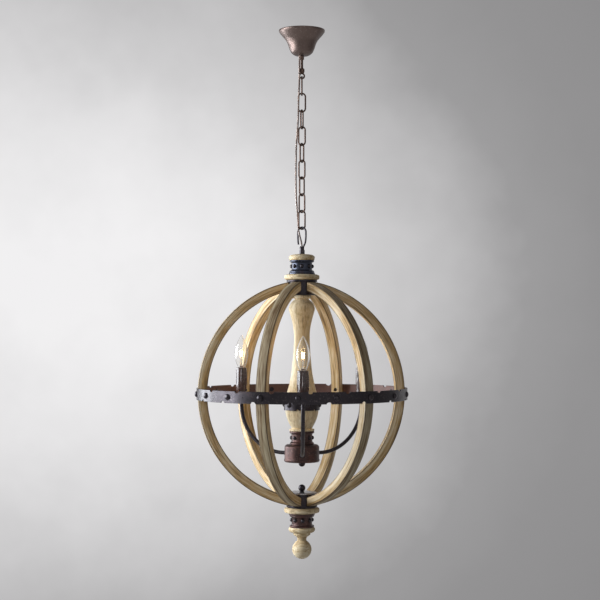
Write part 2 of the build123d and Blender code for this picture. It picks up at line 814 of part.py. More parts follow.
def cord_radii():
    """Bend radius at each corner of the route: 0.45 of the shorter run."""
    radii = []
    for before, corner, after in zip(cord_route, cord_route[1:], cord_route[2:]):
        run_in = Vector(*corner) - Vector(*before)
        run_out = Vector(*after) - Vector(*corner)
        half = math.radians(run_in.get_angle(run_out)) / 2
        radii.append(0.45 * min(run_in.length, run_out.length) / math.tan(half))
    return radii


def make_supply_cord():
    """Cord from inside the canopy, beside the chain, down into the loop's boss."""
    path = FilletPolyline(*cord_route, radius=cord_radii())
    start = Plane(path @ 0, z_dir=path % 0)
    cord = sweep(start * RegularPolygon(cord_radius, cord_sides), path=path)
    print("cord length", round(path.length, 1), "radii", [round(r) for r in cord_radii()])
    return cord


# ---- nodes ----

def ceiling_nodes():
    """Pieces that stay on the ceiling, and the cord."""
    nipple_foot = -nipple_length - 7
    nipple = pin(nipple_radius, nipple_foot, -0.3) - bore(nipple_radius - 1, nipple_foot - 1, 0)
    return {
        "canopy": make_canopy(),
        "crossbar": make_crossbar(),
        "ceiling_nipple": nipple,
        "ceiling_nuts": make_ceiling_nuts(),
        "hanging_eye": make_hanging_eye(),
        "supply_cord": make_supply_cord(),
    }


def chain_nodes():
    """The links, from the eye down."""
    link = make_link()
    return {f"chain_link_{k + 1}": link_place(k) * link for k in range(len(link_yaws))}


def stack_nodes():
    """Loop, cap, collars, rings, hubs, pipe and finial."""
    upper_plate = drum_top - drum_height
    lower_hub = hub_spool(rod_hole).mirror(Plane.XY)
    lower_plate = hub_plate(rod_hole).mirror(Plane.XY)
    return {
        "fixture_loop": make_fixture_loop(),
        "loop_nut": hex_nut(loop_nut_radius, cap_top, loop_seat - seat_gap,
                            pipe_radius + seat_gap),
        "top_cap": make_top_cap(),
        "top_collar": make_top_collar(),
        "top_ring": ring_body(ring_top, pipe_hole),
        "top_hub": Pos(0, 0, plate_top) * hub_spool(pipe_hole),
        "top_hub_plate": Pos(0, 0, upper_plate) * hub_plate(pipe_hole),
        "center_pipe": make_center_pipe(),
        "bottom_hub": Pos(0, 0, mirrored(plate_top)) * lower_hub,
        "bottom_hub_plate": Pos(0, 0, mirrored(upper_plate)) * lower_plate,
        "bottom_knob": make_bottom_knob(),
        "bottom_ring": ring_body(mirrored(plate_top), rod_hole),
        "bottom_collar": make_bottom_collar(),
        "finial": make_finial(),
    }


def orb_nodes():
    """Ribs, equator band and their bolts."""
    rib = make_rib()
    nodes = {f"rib_{k + 1}": outward(azimuth, 0, equator) * rib
             for k, azimuth in enumerate(around(rib_count, rib_first_azimuth))}
    nodes["equator_band"] = make_equator_band()
    reach = band_outer_radius - (orb_radius - rib_depth) - 1.0
    nodes["band_rivets"] = group(band_bolt(0), [
        outward(azimuth, band_outer_radius, equator) for azimuth in band_azimuths(False)])
    nodes["rib_bolts"] = group(band_bolt(reach), [
        outward(azimuth, band_outer_radius, equator) for azimuth in band_azimuths(True)])
    nodes["rib_nuts"] = group(make_rib_nut(), [
        outward(azimuth, 0, equator) for azimuth in band_azimuths(True)])
    return nodes


def column_nodes():
    """Column, its band, the base collar and the arm hub."""
    arm_nut = sideways(hex_nut(arm_nut_radius, hub_radius + seat_gap + hub_facet_rise,
                               hub_radius + seat_gap + hub_facet_rise + arm_nut_height,
                               arm_radius + bore_gap))
    return {
        "column": make_column(),
        "column_band": make_column_band(),
        "base_collar": make_base_collar(),
        "arm_hub": make_arm_hub(),
        "arm_hub_lid": make_arm_hub_lid(),
        "hub_ball": make_hub_ball(),
        "arm_nuts": group(arm_nut, [outward(azimuth, 0, arm_level)
                                    for azimuth in around(arm_count, arm_azimuth)]),
    }


def candle_nodes():
    """Arms, cups, sockets, sleeves and bulbs."""
    pieces = {"arm": make_arm(), "candle_sleeve": make_sleeve(), "bulb": make_bulb_glass(),
              "bulb_base": make_bulb_base()}
    azimuths = around(arm_count, arm_azimuth)
    candles = [outward(azimuth, candle_circle_radius, sleeve_foot) for azimuth in azimuths]
    nodes = {"candle_cups": group(make_candle_cup(), candles),
             "lamp_sockets": group(make_lamp_socket(), candles)}
    for k, azimuth in enumerate(azimuths):
        for name, piece in pieces.items():
            place = outward(azimuth) if name == "arm" else candles[k]
            nodes[f"{name}_{k + 1}"] = place * piece
    return nodes


def main():
    """Writes one STEP file for each piece."""
    os.makedirs("parts", exist_ok=True)
    families = (ceiling_nodes(), chain_nodes(), stack_nodes(), orb_nodes(), column_nodes(),
                candle_nodes())
    for nodes in families:
        for name, shape in nodes.items():
            export_step(shape, f"parts/{name}.step")


main()
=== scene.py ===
"""Orb chandelier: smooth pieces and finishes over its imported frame, in plain studio light.

Sizes are in millimetres and azimuths in degrees from the front (-Y) towards +X, as a maker's
drawing of the chandelier has them. Meshes are written in metres.
"""

from __future__ import annotations

import logging
import math
from dataclasses import dataclass
from enum import Enum
from typing import Any

import bmesh
import bpy
from mathutils import Matrix, Vector

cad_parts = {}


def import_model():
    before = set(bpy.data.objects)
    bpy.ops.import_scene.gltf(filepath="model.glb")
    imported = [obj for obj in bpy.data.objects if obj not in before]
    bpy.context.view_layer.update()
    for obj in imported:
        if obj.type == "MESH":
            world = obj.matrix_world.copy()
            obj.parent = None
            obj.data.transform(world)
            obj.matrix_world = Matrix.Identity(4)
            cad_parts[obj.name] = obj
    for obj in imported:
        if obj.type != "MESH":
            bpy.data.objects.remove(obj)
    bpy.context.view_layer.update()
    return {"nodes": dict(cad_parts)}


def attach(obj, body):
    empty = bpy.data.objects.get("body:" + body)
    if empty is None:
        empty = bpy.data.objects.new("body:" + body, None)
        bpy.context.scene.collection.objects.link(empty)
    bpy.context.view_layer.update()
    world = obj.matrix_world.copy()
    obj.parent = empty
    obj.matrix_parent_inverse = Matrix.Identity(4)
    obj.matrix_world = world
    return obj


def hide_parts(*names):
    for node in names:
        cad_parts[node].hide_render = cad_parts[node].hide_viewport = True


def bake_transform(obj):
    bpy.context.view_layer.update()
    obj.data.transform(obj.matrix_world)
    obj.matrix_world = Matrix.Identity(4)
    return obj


Point = tuple[float, float]
Corner = tuple[float, float, float]
Place = tuple[float, float, float]
Colour = tuple[float, float, float, float]
Tint = tuple[float, float, float]
Stop = tuple[float, int]
Piece = bpy.types.Object
Finish = bpy.types.Material
Socket = bpy.types.NodeSocket

MM = 0.001
# Points nearer than this, in metres, are one, and edges shorter than a sliver go.
MERGE = 1e-7
SLIVER = 1e-8
# Angles in degrees past which an edge stays sharp.
CREASE = 38.0
HOOP_CREASE = 30.0
RIB_CREASE = 50.0
# A ring so small only gives its copies their directions.
ON_AXIS = 0.001 * MM
WHITE = (1.0, 1.0, 1.0)
DAYLIGHT = (0.9, 0.95, 1.0)
LOG = logging.getLogger("orb_chandelier")


# ---------------------------------------------------------------- outlines and places


def tone(red: int, green: int, blue: int) -> Colour:
    """Linear colour of a paint chip given in steps of 0 to 255."""
    steps = [value / 255 for value in (red, green, blue)]
    linear = [s / 12.92 if s <= 0.04045 else ((s + 0.055) / 1.055) ** 2.4 for s in steps]
    return (linear[0], linear[1], linear[2], 1.0)


def outward(azimuth: float, radius: float = 0.0, level: float = 0.0) -> Matrix:
    """Place whose own +X points away from the axis.

    Args:
        azimuth: Degrees from the front towards +X.
        radius: Distance from the axis, in millimetres.
        level: Height, in millimetres.

    Returns:
        The place as a matrix in metres.
    """
    turn = Matrix.Rotation(math.radians(azimuth - 90), 4, "Z")
    return turn @ Matrix.Translation((radius * MM, 0, level * MM))


def rounded(corners: list[Corner], steps: int = 5) -> list[Point]:
    """Outline with rounded corners.

    Args:
        corners: (radius, level, rounding) of each corner.
        steps: Chords of each rounded corner.

    Returns:
        (radius, level) points.
    """
    line: list[Point] = []
    for k, (radius, level, rounding) in enumerate(corners):
        here = Vector((radius, level))
        if rounding <= 0 or k in (0, len(corners) - 1):
            line.append((radius, level))
            continue
        before = Vector(corners[k - 1][:2]) - here
        after = Vector(corners[k + 1][:2]) - here
        reach = min(rounding, 0.49 * before.length, 0.49 * after.length)
        start = here + before.normalized() * reach
        end = here + after.normalized() * reach
        for step in range(steps + 1):
            t = step / steps
            point = start * (1 - t) ** 2 + here * 2 * t * (1 - t) + end * t * t
            line.append((point.x, point.y))
    return line


def flowing(points: list[Point], steps: int = 8) -> list[Point]:
    """Outline that flows through its points.

    Args:
        points: (radius, level) points.
        steps: Chords between two points.

    Returns:
        (radius, level) points of a smooth line.
    """
    ends = [points[0], *points, points[-1]]
    line: list[Point] = []
    for k in range(len(points) - 1):
        p0, p1, p2, p3 = (Vector(p) for p in ends[k:k + 4])
        for step in range(steps):
            t = step / steps
            point = 0.5 * (2 * p1 + (p2 - p0) * t + (2 * p0 - 5 * p1 + 4 * p2 - p3) * t * t
                           + (3 * p1 - p0 - 3 * p2 + p3) * t ** 3)
            line.append((point.x, point.y))
    line.append(points[-1])
    return line


def ball_line(radius: float, centre: float, first: float, last: float,
              steps: int = 20) -> list[Point]:
    """(radius, level) points on a ball between two latitudes in degrees."""
    turns = [math.radians(first + (last - first) * k / steps) for k in range(steps + 1)]
    return [(max(radius * math.cos(t), 0.0), centre + radius * math.sin(t)) for t in turns]


# ---------------------------------------------------------------- meshes


def placed(name: str, data: bpy.types.ID) -> Piece:
    """Object that holds some data, put in the scene."""
    made = bpy.data.objects.new(name, data)
    bpy.context.scene.collection.objects.link(made)
    return made


def smooth(piece: Piece, crease: float = CREASE) -> Piece:
    """Shades a piece round, apart from edges sharper than the crease angle."""
    piece.data.shade_smooth()
    piece.data.set_sharp_from_angle(angle=math.radians(crease))
    return piece


def new_piece(name: str, mesh: bpy.types.Mesh, finish: Finish, crease: float = CREASE) -> Piece:
    """Merges a mesh's doubles, turns its faces outwards and makes it a piece.

    Args:
        name: Name of the piece.
        mesh: Its mesh, in metres.
        finish: Its material.
        crease: Angle in degrees past which an edge stays sharp.

    Returns:
        The piece, in the scene.
    """
    shape = bmesh.new()
    shape.from_mesh(mesh)
    bmesh.ops.remove_doubles(shape, verts=shape.verts, dist=MERGE)
    bmesh.ops.dissolve_degenerate(shape, dist=SLIVER, edges=shape.edges)
    bmesh.ops.recalc_face_normals(shape, faces=shape.faces)
    shape.to_mesh(mesh)
    shape.free()
    mesh.materials.clear()
    mesh.materials.append(finish)
    return smooth(placed(name, mesh), crease)


def new_mesh(name: str, points: list[Vector], faces: list[list[int]]) -> bpy.types.Mesh:
    """Mesh of points in metres and faces that name them."""
    mesh = bpy.data.meshes.new(name)
    mesh.from_pydata(points, [], faces)
    return mesh


def spun(name: str, outline: list[Point], finish: Finish, sides: int = 96,
         place: Matrix | None = None, closed: bool = False) -> Piece:
    """Turned piece.

    Args:
        name: Name of the piece.
        outline: (radius, level) points in millimetres. A radius of 0 is a pole.
        finish: Its material.
        sides: Facets round the axis.
        place: Where it stands, as a matrix in metres.
        closed: Joins the last point to the first, as on a ring.

    Returns:
        The piece.
    """
    return spun_group(name, outline, finish, [place or Matrix.Identity(4)], sides, closed)


def spun_group(name: str, outline: list[Point], finish: Finish,
               places: list[Matrix], sides: int = 48, closed: bool = False) -> Piece:
    """Several equal turned pieces as one, one at each place, as spun makes them.

    Args:
        name: Name of the piece.
        outline: (radius, level) points, as for spun.
        finish: Its material.
        places: Where each copy stands, as a matrix in metres.
        sides: Facets round each axis.
        closed: Joins the last point to the first.

    Returns:
        The piece.
    """
    points: list[Vector] = []
    faces: list[list[int]] = []
    for place in places:
        rings = []
        for radius, level in outline:
            first = len(points)
            count = 1 if radius < 1e-6 else sides
            for k in range(count):
                turn = 2 * math.pi * k / sides
                points.append(place @ Vector((radius * MM * math.cos(turn),
                                              radius * MM * math.sin(turn), level * MM)))
            rings.append(list(range(first, first + count)))
        pairs = list(zip(rings, rings[1:]))
        if closed:
            pairs.append((rings[-1], rings[0]))
        for one, two in pairs:
            faces += bridge(one, two, sides)
    return new_piece(name, new_mesh(name, points, faces), finish)


def bridge(one: list[int], two: list[int], sides: int) -> list[list[int]]:
    """Faces between two rings, either of which may be a single pole.

    Args:
        one: Corners of the first ring.
        two: Corners of the second ring.
        sides: Facets round the axis.

    Returns:
        The corners of each face.
    """
    faces = []
    for k in range(sides):
        after = (k + 1) % sides
        corners = list(dict.fromkeys([one[k % len(one)], one[after % len(one)],
                                      two[after % len(two)], two[k % len(two)]]))
        if len(corners) > 2:
            faces.append(corners)
    return faces


def tube(name: str, line: list[Vector], radius: float, finish: Finish, sides: int = 24) -> Piece:
    """Round bar that follows a line.

    Args:
        name: Name of the piece.
        line: Points of its centre line, in metres.
        radius: Its radius, in millimetres.
        finish: Its material.
        sides: Facets round the bar.

    Returns:
        The piece, with closed ends.
    """
    points: list[Vector] = []
    faces: list[list[int]] = []
    # Any way that no line here starts along.
    side = Vector((0.31, 0.95, 0.1))
    for k, here in enumerate(line):
        run = (line[min(k + 1, len(line) - 1)] - line[max(k - 1, 0)]).normalized()
        side = (side - run * side.dot(run)).normalized()
        other = run.cross(side)
        for s in range(sides):
            turn = 2 * math.pi * s / sides
            points.append(here + (side * math.cos(turn) + other * math.sin(turn)) * radius * MM)
    rings = [list(range(k * sides, (k + 1) * sides)) for k in range(len(line))]
    for one, two in zip(rings, rings[1:]):
        faces += bridge(one, two, sides)
    faces += [rings[0][::-1], rings[-1]]
    return new_piece(name, new_mesh(name, points, faces), finish)


def hoop(name: str, azimuths: list[float], sections: list[list[Point]], level: float,
         finish: Finish) -> Piece:
    """Hoop round the axis, whose section changes from azimuth to azimuth.

    Args:
        name: Name of the piece.
        azimuths: Azimuth of each section, in order.
        sections: (radius, height) corners of each section, as many in each.
        level: Level of the hoop's middle, from which heights count.
        finish: Its material.

    Returns:
        The piece. Its faces run round each section in turn, from the first corner on.
    """
    points: list[Vector] = []
    for azimuth, section in zip(azimuths, sections):
        place = outward(azimuth, 0, level)
        points += [place @ Vector((r * MM, 0, z * MM)) for r, z in section]
    faces: list[list[int]] = []
    count = len(sections[0])
    for k in range(len(azimuths)):
        one, two = k * count, ((k + 1) % len(azimuths)) * count
        for s in range(count):
            after = (s + 1) % count
            faces.append([one + s, two + s, two + after, one + after])
    return new_piece(name, new_mesh(name, points, faces), finish, HOOP_CREASE)


def joined(name: str, *pieces: Piece) -> Piece:
    """Several pieces of one finish as one piece.

    Args:
        name: Name of the new piece.
        *pieces: The pieces, which go.

    Returns:
        The new piece.
    """
    shape = bmesh.new()
    for piece in pieces:
        shape.from_mesh(piece.data)
    mesh = bpy.data.meshes.new(name)
    shape.to_mesh(mesh)
    shape.free()
    mesh.materials.append(pieces[0].data.materials[0])
    for piece in pieces:
        bpy.data.objects.remove(piece)
    return smooth(placed(name, mesh))


# ---------------------------------------------------------------- node trees


class NodeWork:
    """A node tree that is built step by step."""

    def __init__(self, tree: bpy.types.NodeTree) -> None:
        """Takes a tree to work on."""
        self.tree = tree

    def add(self, kind: str, inputs: dict[str | int, Any] | None = None,
            **settings: Any) -> bpy.types.Node:
        """Adds a node.

        Args:
            kind: The node's type.
            inputs: A value or a socket for each input, by name or number.
            **settings: The node's own settings.

        Returns:
            The node.
        """
        node = self.tree.nodes.new(kind)
        for key, value in settings.items():
            setattr(node, key, value)
        for key, value in (inputs or {}).items():
            if isinstance(value, Socket):
                self.tree.links.new(value, node.inputs[key])
            else:
                node.inputs[key].default_value = value
        return node

    def math(self, operation: str, a: Any, b: Any = 0.0) -> Socket:
        """Result of a sum of one or two values."""
        return self.add("ShaderNodeMath", {0: a, 1: b}, operation=operation).outputs[0]

    def vector(self, x: Any, y: Any, z: Any) -> Socket:
        """Vector made of three values."""
        return self.add("ShaderNodeCombineXYZ", {0: x, 1: y, 2: z}).outputs[0]

    def parts(self, value: Socket) -> tuple[Socket, ...]:
        """X, Y and Z of a vector."""
        return tuple(self.add("ShaderNodeSeparateXYZ", {0: value}).outputs)

    def noise(self, spot: Socket, scale: float, detail: float = 3.0, rough: float = 0.55,
              warp: float = 0.0) -> Socket:
        """Cloudy pattern of 0 to 1, finer with a larger scale."""
        return self.add("ShaderNodeTexNoise", {
            "Vector": spot, "Scale": scale, "Detail": detail, "Roughness": rough,
            "Distortion": warp}).outputs["Fac"]

    def ramp(self, value: Socket, *stops: tuple[float, Colour]) -> Socket:
        """Colours along a value.

        Args:
            value: The value, of 0 to 1.
            *stops: (value, colour) of each stop, in order.

        Returns:
            The colour.
        """
        node = self.add("ShaderNodeValToRGB", {"Fac": value})
        elements = node.color_ramp.elements
        while len(elements) < len(stops):
            elements.new(0.5)
        for element, (position, colour) in zip(elements, stops):
            element.position = position
            element.color = colour
        return node.outputs["Color"]

    def seen(self) -> Socket:
        """Gives 1 to what lens, gloss and glass see, and 0 to what lights the pieces."""
        path = self.add("ShaderNodeLightPath").outputs
        return self.math("MAXIMUM", path["Is Camera Ray"], self.math(
            "MAXIMUM", path["Is Glossy Ray"], path["Is Transmission Ray"]))


class Recipe(NodeWork):
    """Geometry Nodes tree with named sizes, which grows pieces."""

    def __init__(self, name: str) -> None:
        """Starts a tree of a name, with geometry in and out."""
        super().__init__(bpy.data.node_groups.new(name, "GeometryNodeTree"))
        face = self.tree.interface
        face.new_socket("Geometry", in_out="OUTPUT", socket_type="NodeSocketGeometry")
        face.new_socket("Geometry", in_out="INPUT", socket_type="NodeSocketGeometry")
        self.entry = self.add("NodeGroupInput")
        self.exit = self.add("NodeGroupOutput")

    def size(self, label: str, value: float) -> Socket:
        """Named size of the tree, with its usual value."""
        kind = "NodeSocketInt" if isinstance(value, int) else "NodeSocketFloat"
        made = self.tree.interface.new_socket(label, in_out="INPUT", socket_type=kind)
        made.default_value = value
        return self.entry.outputs[label]

    def position(self) -> tuple[Socket, ...]:
        """X, Y and Z of each point."""
        return self.parts(self.add("GeometryNodeInputPosition").outputs[0])

    def facing_out(self) -> Socket:
        """Turn that points +X away from the axis at each point."""
        x, y, _ = self.position()
        return self.vector(0.0, 0.0, self.math("ARCTAN2", y, x))

    def moved(self, shape: Any, **change: Any) -> Socket:
        """A shape after a Translation, a Rotation or a Scale."""
        return self.add("GeometryNodeTransform", {"Geometry": shape, **change}).outputs[0]

    def bar(self, line: Any, radius: Any, sides: int, capped: bool = True) -> Socket:
        """Round bar along a line.

        Args:
            line: The line's geometry.
            radius: The bar's radius, in metres.
            sides: Facets round the bar.
            capped: Closes its ends.

        Returns:
            The bar's geometry.
        """
        section = self.add("GeometryNodeCurvePrimitiveCircle", {
            "Resolution": sides, "Radius": radius}, mode="RADIUS")
        return self.add("GeometryNodeCurveToMesh", {
            "Curve": line, "Profile Curve": section.outputs[0],
            "Fill Caps": capped}).outputs[0]

    def spread(self, shape: Any, count: Any, radius: Any, level: Any, first: Any) -> Socket:
        """Copies of a shape round the axis, with their +X outwards.

        Args:
            shape: The shape's geometry.
            count: How many.
            radius: Distance from the axis, in metres.
            level: Height, in metres.
            first: Azimuth of the first copy, in radians from +X.

        Returns:
            The copies as instances.
        """
        ring = self.add("GeometryNodeMeshCircle", {"Vertices": count, "Radius": radius})
        turned = self.moved(ring.outputs[0], Translation=self.vector(0.0, 0.0, level),
                            Rotation=self.vector(0.0, 0.0, first))
        return self.add("GeometryNodeInstanceOnPoints", {
            "Points": turned, "Instance": shape, "Rotation": self.facing_out()}).outputs[0]

    def close(self, shape: Socket, finish: Finish) -> None:
        """Ends the tree: real geometry in its finish."""
        real = self.add("GeometryNodeRealizeInstances", {"Geometry": shape})
        painted = self.add("GeometryNodeSetMaterial", {
            "Geometry": real.outputs[0], "Material": finish})
        self.tree.links.new(painted.outputs[0], self.exit.inputs[0])

    def grow(self, name: str, sizes: dict[str, float],
             path: list[Place] | None = None, crease: float = CREASE) -> Piece:
        """Makes a piece of plain mesh.

        Args:
            name: Name of the piece.
            sizes: Value of each named size that isn't the usual one.
            path: Points of a line, in metres, which the tree takes as its geometry.
            crease: Angle in degrees past which an edge stays sharp.

        Returns:
            The piece, without the tree.
        """
        if path:
            data = bpy.data.curves.new(name, "CURVE")
            data.dimensions = "3D"
            line = data.splines.new("POLY")
            line.points.add(len(path) - 1)
            for spot, (x, y, z) in zip(line.points, path):
                spot.co = (x, y, z, 1.0)
        else:
            data = bpy.data.meshes.new(name)
        carrier = placed(f"{name}_carrier", data)
        modifier = carrier.modifiers.new("recipe", "NODES")
        modifier.node_group = self.tree
        for item in self.tree.interface.items_tree:
            if item.in_out == "INPUT" and item.name in sizes:
                modifier[item.identifier] = sizes[item.name]
        graph = bpy.context.evaluated_depsgraph_get()
        mesh = bpy.data.meshes.new_from_object(carrier.evaluated_get(graph))
        bpy.data.objects.remove(carrier)
        return smooth(placed(name, mesh), crease)


# ---------------------------------------------------------------- finishes


class Brush(NodeWork):
    """Node tree of one finish, on a principled shader."""

    def __init__(self, name: str) -> None:
        """Starts a material of a name, with its shader."""
        self.material = bpy.data.materials.new(name)
        self.material.use_nodes = True
        super().__init__(self.material.node_tree)
        self.tree.nodes.clear()
        self.output = self.add("ShaderNodeOutputMaterial")
        self.shader = self.add("ShaderNodeBsdfPrincipled")
        self.end_with(self.shader.outputs[0])

    def end_with(self, surface: Socket) -> None:
        """Gives the material its surface."""
        self.tree.links.new(surface, self.output.inputs[0])

    def set(self, **values: Any) -> None:
        """Sets or links the shader's sockets, with _ for a space in their names.

        Args:
            **values: A value or a socket for each.
        """
        for key, value in values.items():
            socket = self.shader.inputs[key.replace("_", " ")]
            if isinstance(value, Socket):
                self.tree.links.new(value, socket)
            else:
                socket.default_value = value

    def spot(self, stretch: Place = (1.0, 1.0, 1.0), start: Socket | None = None) -> Socket:
        """Stretched object coordinates, or another place stretched the same way."""
        if start is None:
            start = self.add("ShaderNodeTexCoord").outputs["Object"]
        return self.add("ShaderNodeMapping", {"Vector": start, "Scale": stretch}).outputs[0]

    def span(self, value: Any, low: float, high: float, first: float = 0.0,
             last: float = 1.0) -> Socket:
        """Moves the range low to high to the range first to last, with ends held."""
        return self.add("ShaderNodeMapRange", {
            "Value": value, "From Min": low, "From Max": high, "To Min": first,
            "To Max": last}).outputs[0]

    def blend(self, share: Any, one: Any, two: Any, mode: str = "MIX") -> Socket:
        """Two colours mixed by a share."""
        return self.add("ShaderNodeMix", {0: share, 6: one, 7: two}, data_type="RGBA",
                        blend_type=mode).outputs[2]

    def relief(self, height: Socket, depth: float, strength: float = 0.6) -> Socket:
        """Bumps of a depth in millimetres."""
        return self.add("ShaderNodeBump", {
            "Height": height, "Distance": depth * MM, "Strength": strength}).outputs[0]


class GrainRun(Enum):
    """How the grain of a wooden piece runs: its stretch along X, Y and Z."""

    UPRIGHT = (1.0, 1.0, 0.05)
    ACROSS = (0.06, 1.0, 1.0)
    ALONG_RIB = (0.05, 1.0, 1.0)


@dataclass(frozen=True)
class Timber:
    """Limed hardwood with open grain, weathered grey where it faces outwards."""

    name: str
    pale: Colour
    middle: Colour
    dark: Colour
    run: GrainRun = GrainRun.UPRIGHT
    grey: Colour = (0.0, 0.0, 0.0, 1.0)
    edge: Colour = tone(74, 56, 40)
    roughness: float = 0.6
    streaks: float = 0.6
    half_width: float = 12.5
    half_depth: float = 11.5

    def make(self) -> Finish:
        """Builds the material.

        Returns:
            The material.
        """
        brush = Brush(self.name)
        on_rib = self.run is GrainRun.ALONG_RIB
        start = self.board_spot(brush) if on_rib else None
        grain = brush.spot(self.run.value, start)
        broad = brush.noise(grain, 70.0, rough=0.6, warp=0.5)
        fine = brush.noise(grain, 330.0, detail=2.0, rough=0.7)
        cloud = brush.noise(brush.spot(start=start), 13.0, rough=0.5)
        mixed = brush.math("ADD", brush.math("MULTIPLY", broad, 0.5),
                           brush.math("MULTIPLY", fine, 0.5))
        colour = brush.ramp(mixed, (0.36, self.dark), (0.47, self.middle), (0.62, self.pale))
        worn = brush.blend(brush.span(cloud, 0.35, 0.7), self.middle, self.pale)
        colour = brush.blend(self.streaks, worn, colour)
        if on_rib:
            colour = self.grey_face_and_dark_edges(brush, colour, mixed)
        pores = brush.noise(grain, 520.0, detail=1.0, rough=0.5)
        height = brush.math("ADD", broad, brush.math("MULTIPLY", pores, 0.6))
        rough = brush.span(mixed, 0.35, 0.65, self.roughness + 0.12, self.roughness)
        brush.set(Base_Color=colour, Roughness=rough, Specular_IOR_Level=0.35,
                  Normal=brush.relief(height, depth=0.9, strength=0.45))
        return brush.material

    def board_spot(self, brush: Brush) -> Socket:
        """Place along a rib's fibre, moved on from rib to rib.

        Args:
            brush: The finish's node tree.

        Returns:
            The place, in metres.
        """
        fibre = brush.add("ShaderNodeAttribute", attribute_name="fibre").outputs["Vector"]
        board = brush.add("ShaderNodeAttribute", attribute_name="board").outputs["Fac"]
        away = brush.vector(brush.math("MULTIPLY", board, 0.83),
                            brush.math("MULTIPLY", board, 0.29), 0.0)
        return brush.add("ShaderNodeVectorMath", {0: fibre, 1: away},
                         operation="ADD").outputs[0]

    def grey_face_and_dark_edges(self, brush: Brush, colour: Any, mixed: Any) -> Socket:
        """Greys the outer face and darkens the long edges.

        Args:
            brush: The finish's node tree.
            colour: Colour of the wood without the grey and the dark edges.
            mixed: Pattern of its grain.

        Returns:
            The colour with the grey outer face and the dark edges.
        """
        fibre = brush.add("ShaderNodeAttribute", attribute_name="fibre").outputs["Vector"]
        _, beside, deep = brush.parts(fibre)
        outer = brush.span(deep, (self.half_depth - 1.6) * MM, (self.half_depth - 0.4) * MM,
                           0.0, 0.86)
        grey = brush.blend(brush.span(mixed, 0.4, 0.6), self.dark, self.grey)
        colour = brush.blend(outer, colour, grey)
        # A dark line of colour along the long edges.
        near_side = brush.span(brush.math("ABSOLUTE", beside), (self.half_width - 2.6) * MM,
                               (self.half_width - 1.3) * MM)
        near_face = brush.span(brush.math("ABSOLUTE", deep), (self.half_depth - 2.8) * MM,
                               (self.half_depth - 1.6) * MM)
        edge = brush.math("MULTIPLY", brush.math("MULTIPLY", near_side, near_face), 0.75)
        return brush.blend(edge, colour, self.edge)


@dataclass(frozen=True)
class Ironwork:
    """Dark iron with worn spots and a little rust."""

    name: str
    base: Colour
    worn: Colour
    rust: Colour
    rust_share: float = 0.3
    metal: float = 0.55
    smooth_rough: float = 0.3
    dull_rough: float = 0.5
    hammer: float = 0.35

    def make(self) -> Finish:
        """Builds the material.

        Returns:
            The material.
        """
        brush = Brush(self.name)
        spot = brush.spot()
        patches = brush.noise(spot, 38.0, detail=4.0, rough=0.65, warp=0.3)
        specks = brush.noise(spot, 210.0, rough=0.7)
        dents = brush.noise(spot, 95.0, detail=2.0, rough=0.4)
        colour = brush.blend(brush.span(specks, 0.55, 0.72, 0.0, 0.6), self.base, self.worn)
        spread = 0.3 * self.rust_share
        share = brush.span(patches, 0.62 - spread, 0.8 - spread,
                           last=min(1.0, 0.35 + self.rust_share))
        colour = brush.blend(share, colour, self.rust)
        rough = brush.span(patches, 0.35, 0.7, self.smooth_rough, self.dull_rough)
        height = brush.math("ADD", dents, brush.math("MULTIPLY", specks, 0.3))
        brush.set(Base_Color=colour, Metallic=self.metal, Roughness=rough,
                  Normal=brush.relief(height, depth=0.5, strength=self.hammer))
        return brush.material


@dataclass(frozen=True)
class Lacquer:
    """Painted or moulded piece with a faint mottle."""

    name: str
    base: Colour
    shade: Colour
    roughness: float = 0.4
    metal: float = 0.0
    coat: float = 0.0
    mottle: float = 60.0
    depth: float = 0.15

    def make(self) -> Finish:
        """Builds the material.

        Returns:
            The material.
        """
        brush = Brush(self.name)
        clouds = brush.noise(brush.spot(), self.mottle, rough=0.6)
        colour = brush.blend(brush.span(clouds, 0.35, 0.7), self.base, self.shade)
        rough = brush.span(clouds, 0.3, 0.7, self.roughness, min(1.0, self.roughness + 0.1))
        brush.set(Base_Color=colour, Roughness=rough, Metallic=self.metal,
                  Coat_Weight=self.coat, Normal=brush.relief(clouds, self.depth, strength=0.3))
        return brush.material


@dataclass(frozen=True)
class ClearGlass:
    """Clear blown glass."""

    name: str
    tint: Colour
    roughness: float = 0.02

    def make(self) -> Finish:
        """Builds the material.

        Returns:
            The material.
        """
        brush = Brush(self.name)
        faint = brush.noise(brush.spot(), 45.0, detail=1.0, rough=0.4)
        rough = brush.span(faint, 0.3, 0.7, self.roughness, self.roughness + 0.02)
        brush.set(Base_Color=self.tint, Transmission_Weight=1.0, IOR=1.45, Roughness=rough)
        return brush.material


@dataclass(frozen=True)
class GlowingWire:
    """Lamp filament at its working heat."""

    name: str
    colour: Colour
    strength: float
    cooler: Colour = (1.0, 0.62, 0.3, 1.0)
    cold: Colour = (0.1, 0.08, 0.07, 1.0)

    def make(self) -> Finish:
        """Builds the material.

        Returns:
            The material.
        """
        brush = Brush(self.name)
        heat = brush.noise(brush.spot(), 300.0, detail=1.0, rough=0.4)
        colour = brush.blend(brush.span(heat, 0.3, 0.7, last=0.3), self.colour, self.cooler)
        brush.set(Base_Color=self.cold, Emission_Color=colour,
                  Emission_Strength=self.strength, Roughness=0.5)
        return brush.material


@dataclass(frozen=True)
class ClearCordage:
    """Clear sheath over copper strands."""

    name: str
    sheath: Colour
    strand: Colour

    def make(self) -> Finish:
        """Builds the material.

        Returns:
            The material.
        """
        brush = Brush(self.name)
        twist = brush.noise(brush.spot((1.0, 1.0, 0.3)), 260.0, detail=2.0, rough=0.5)
        colour = brush.blend(brush.span(twist, 0.42, 0.6), self.sheath, self.strand)
        brush.set(Base_Color=colour, Roughness=0.25, Transmission_Weight=0.15, IOR=1.5)
        return brush.material


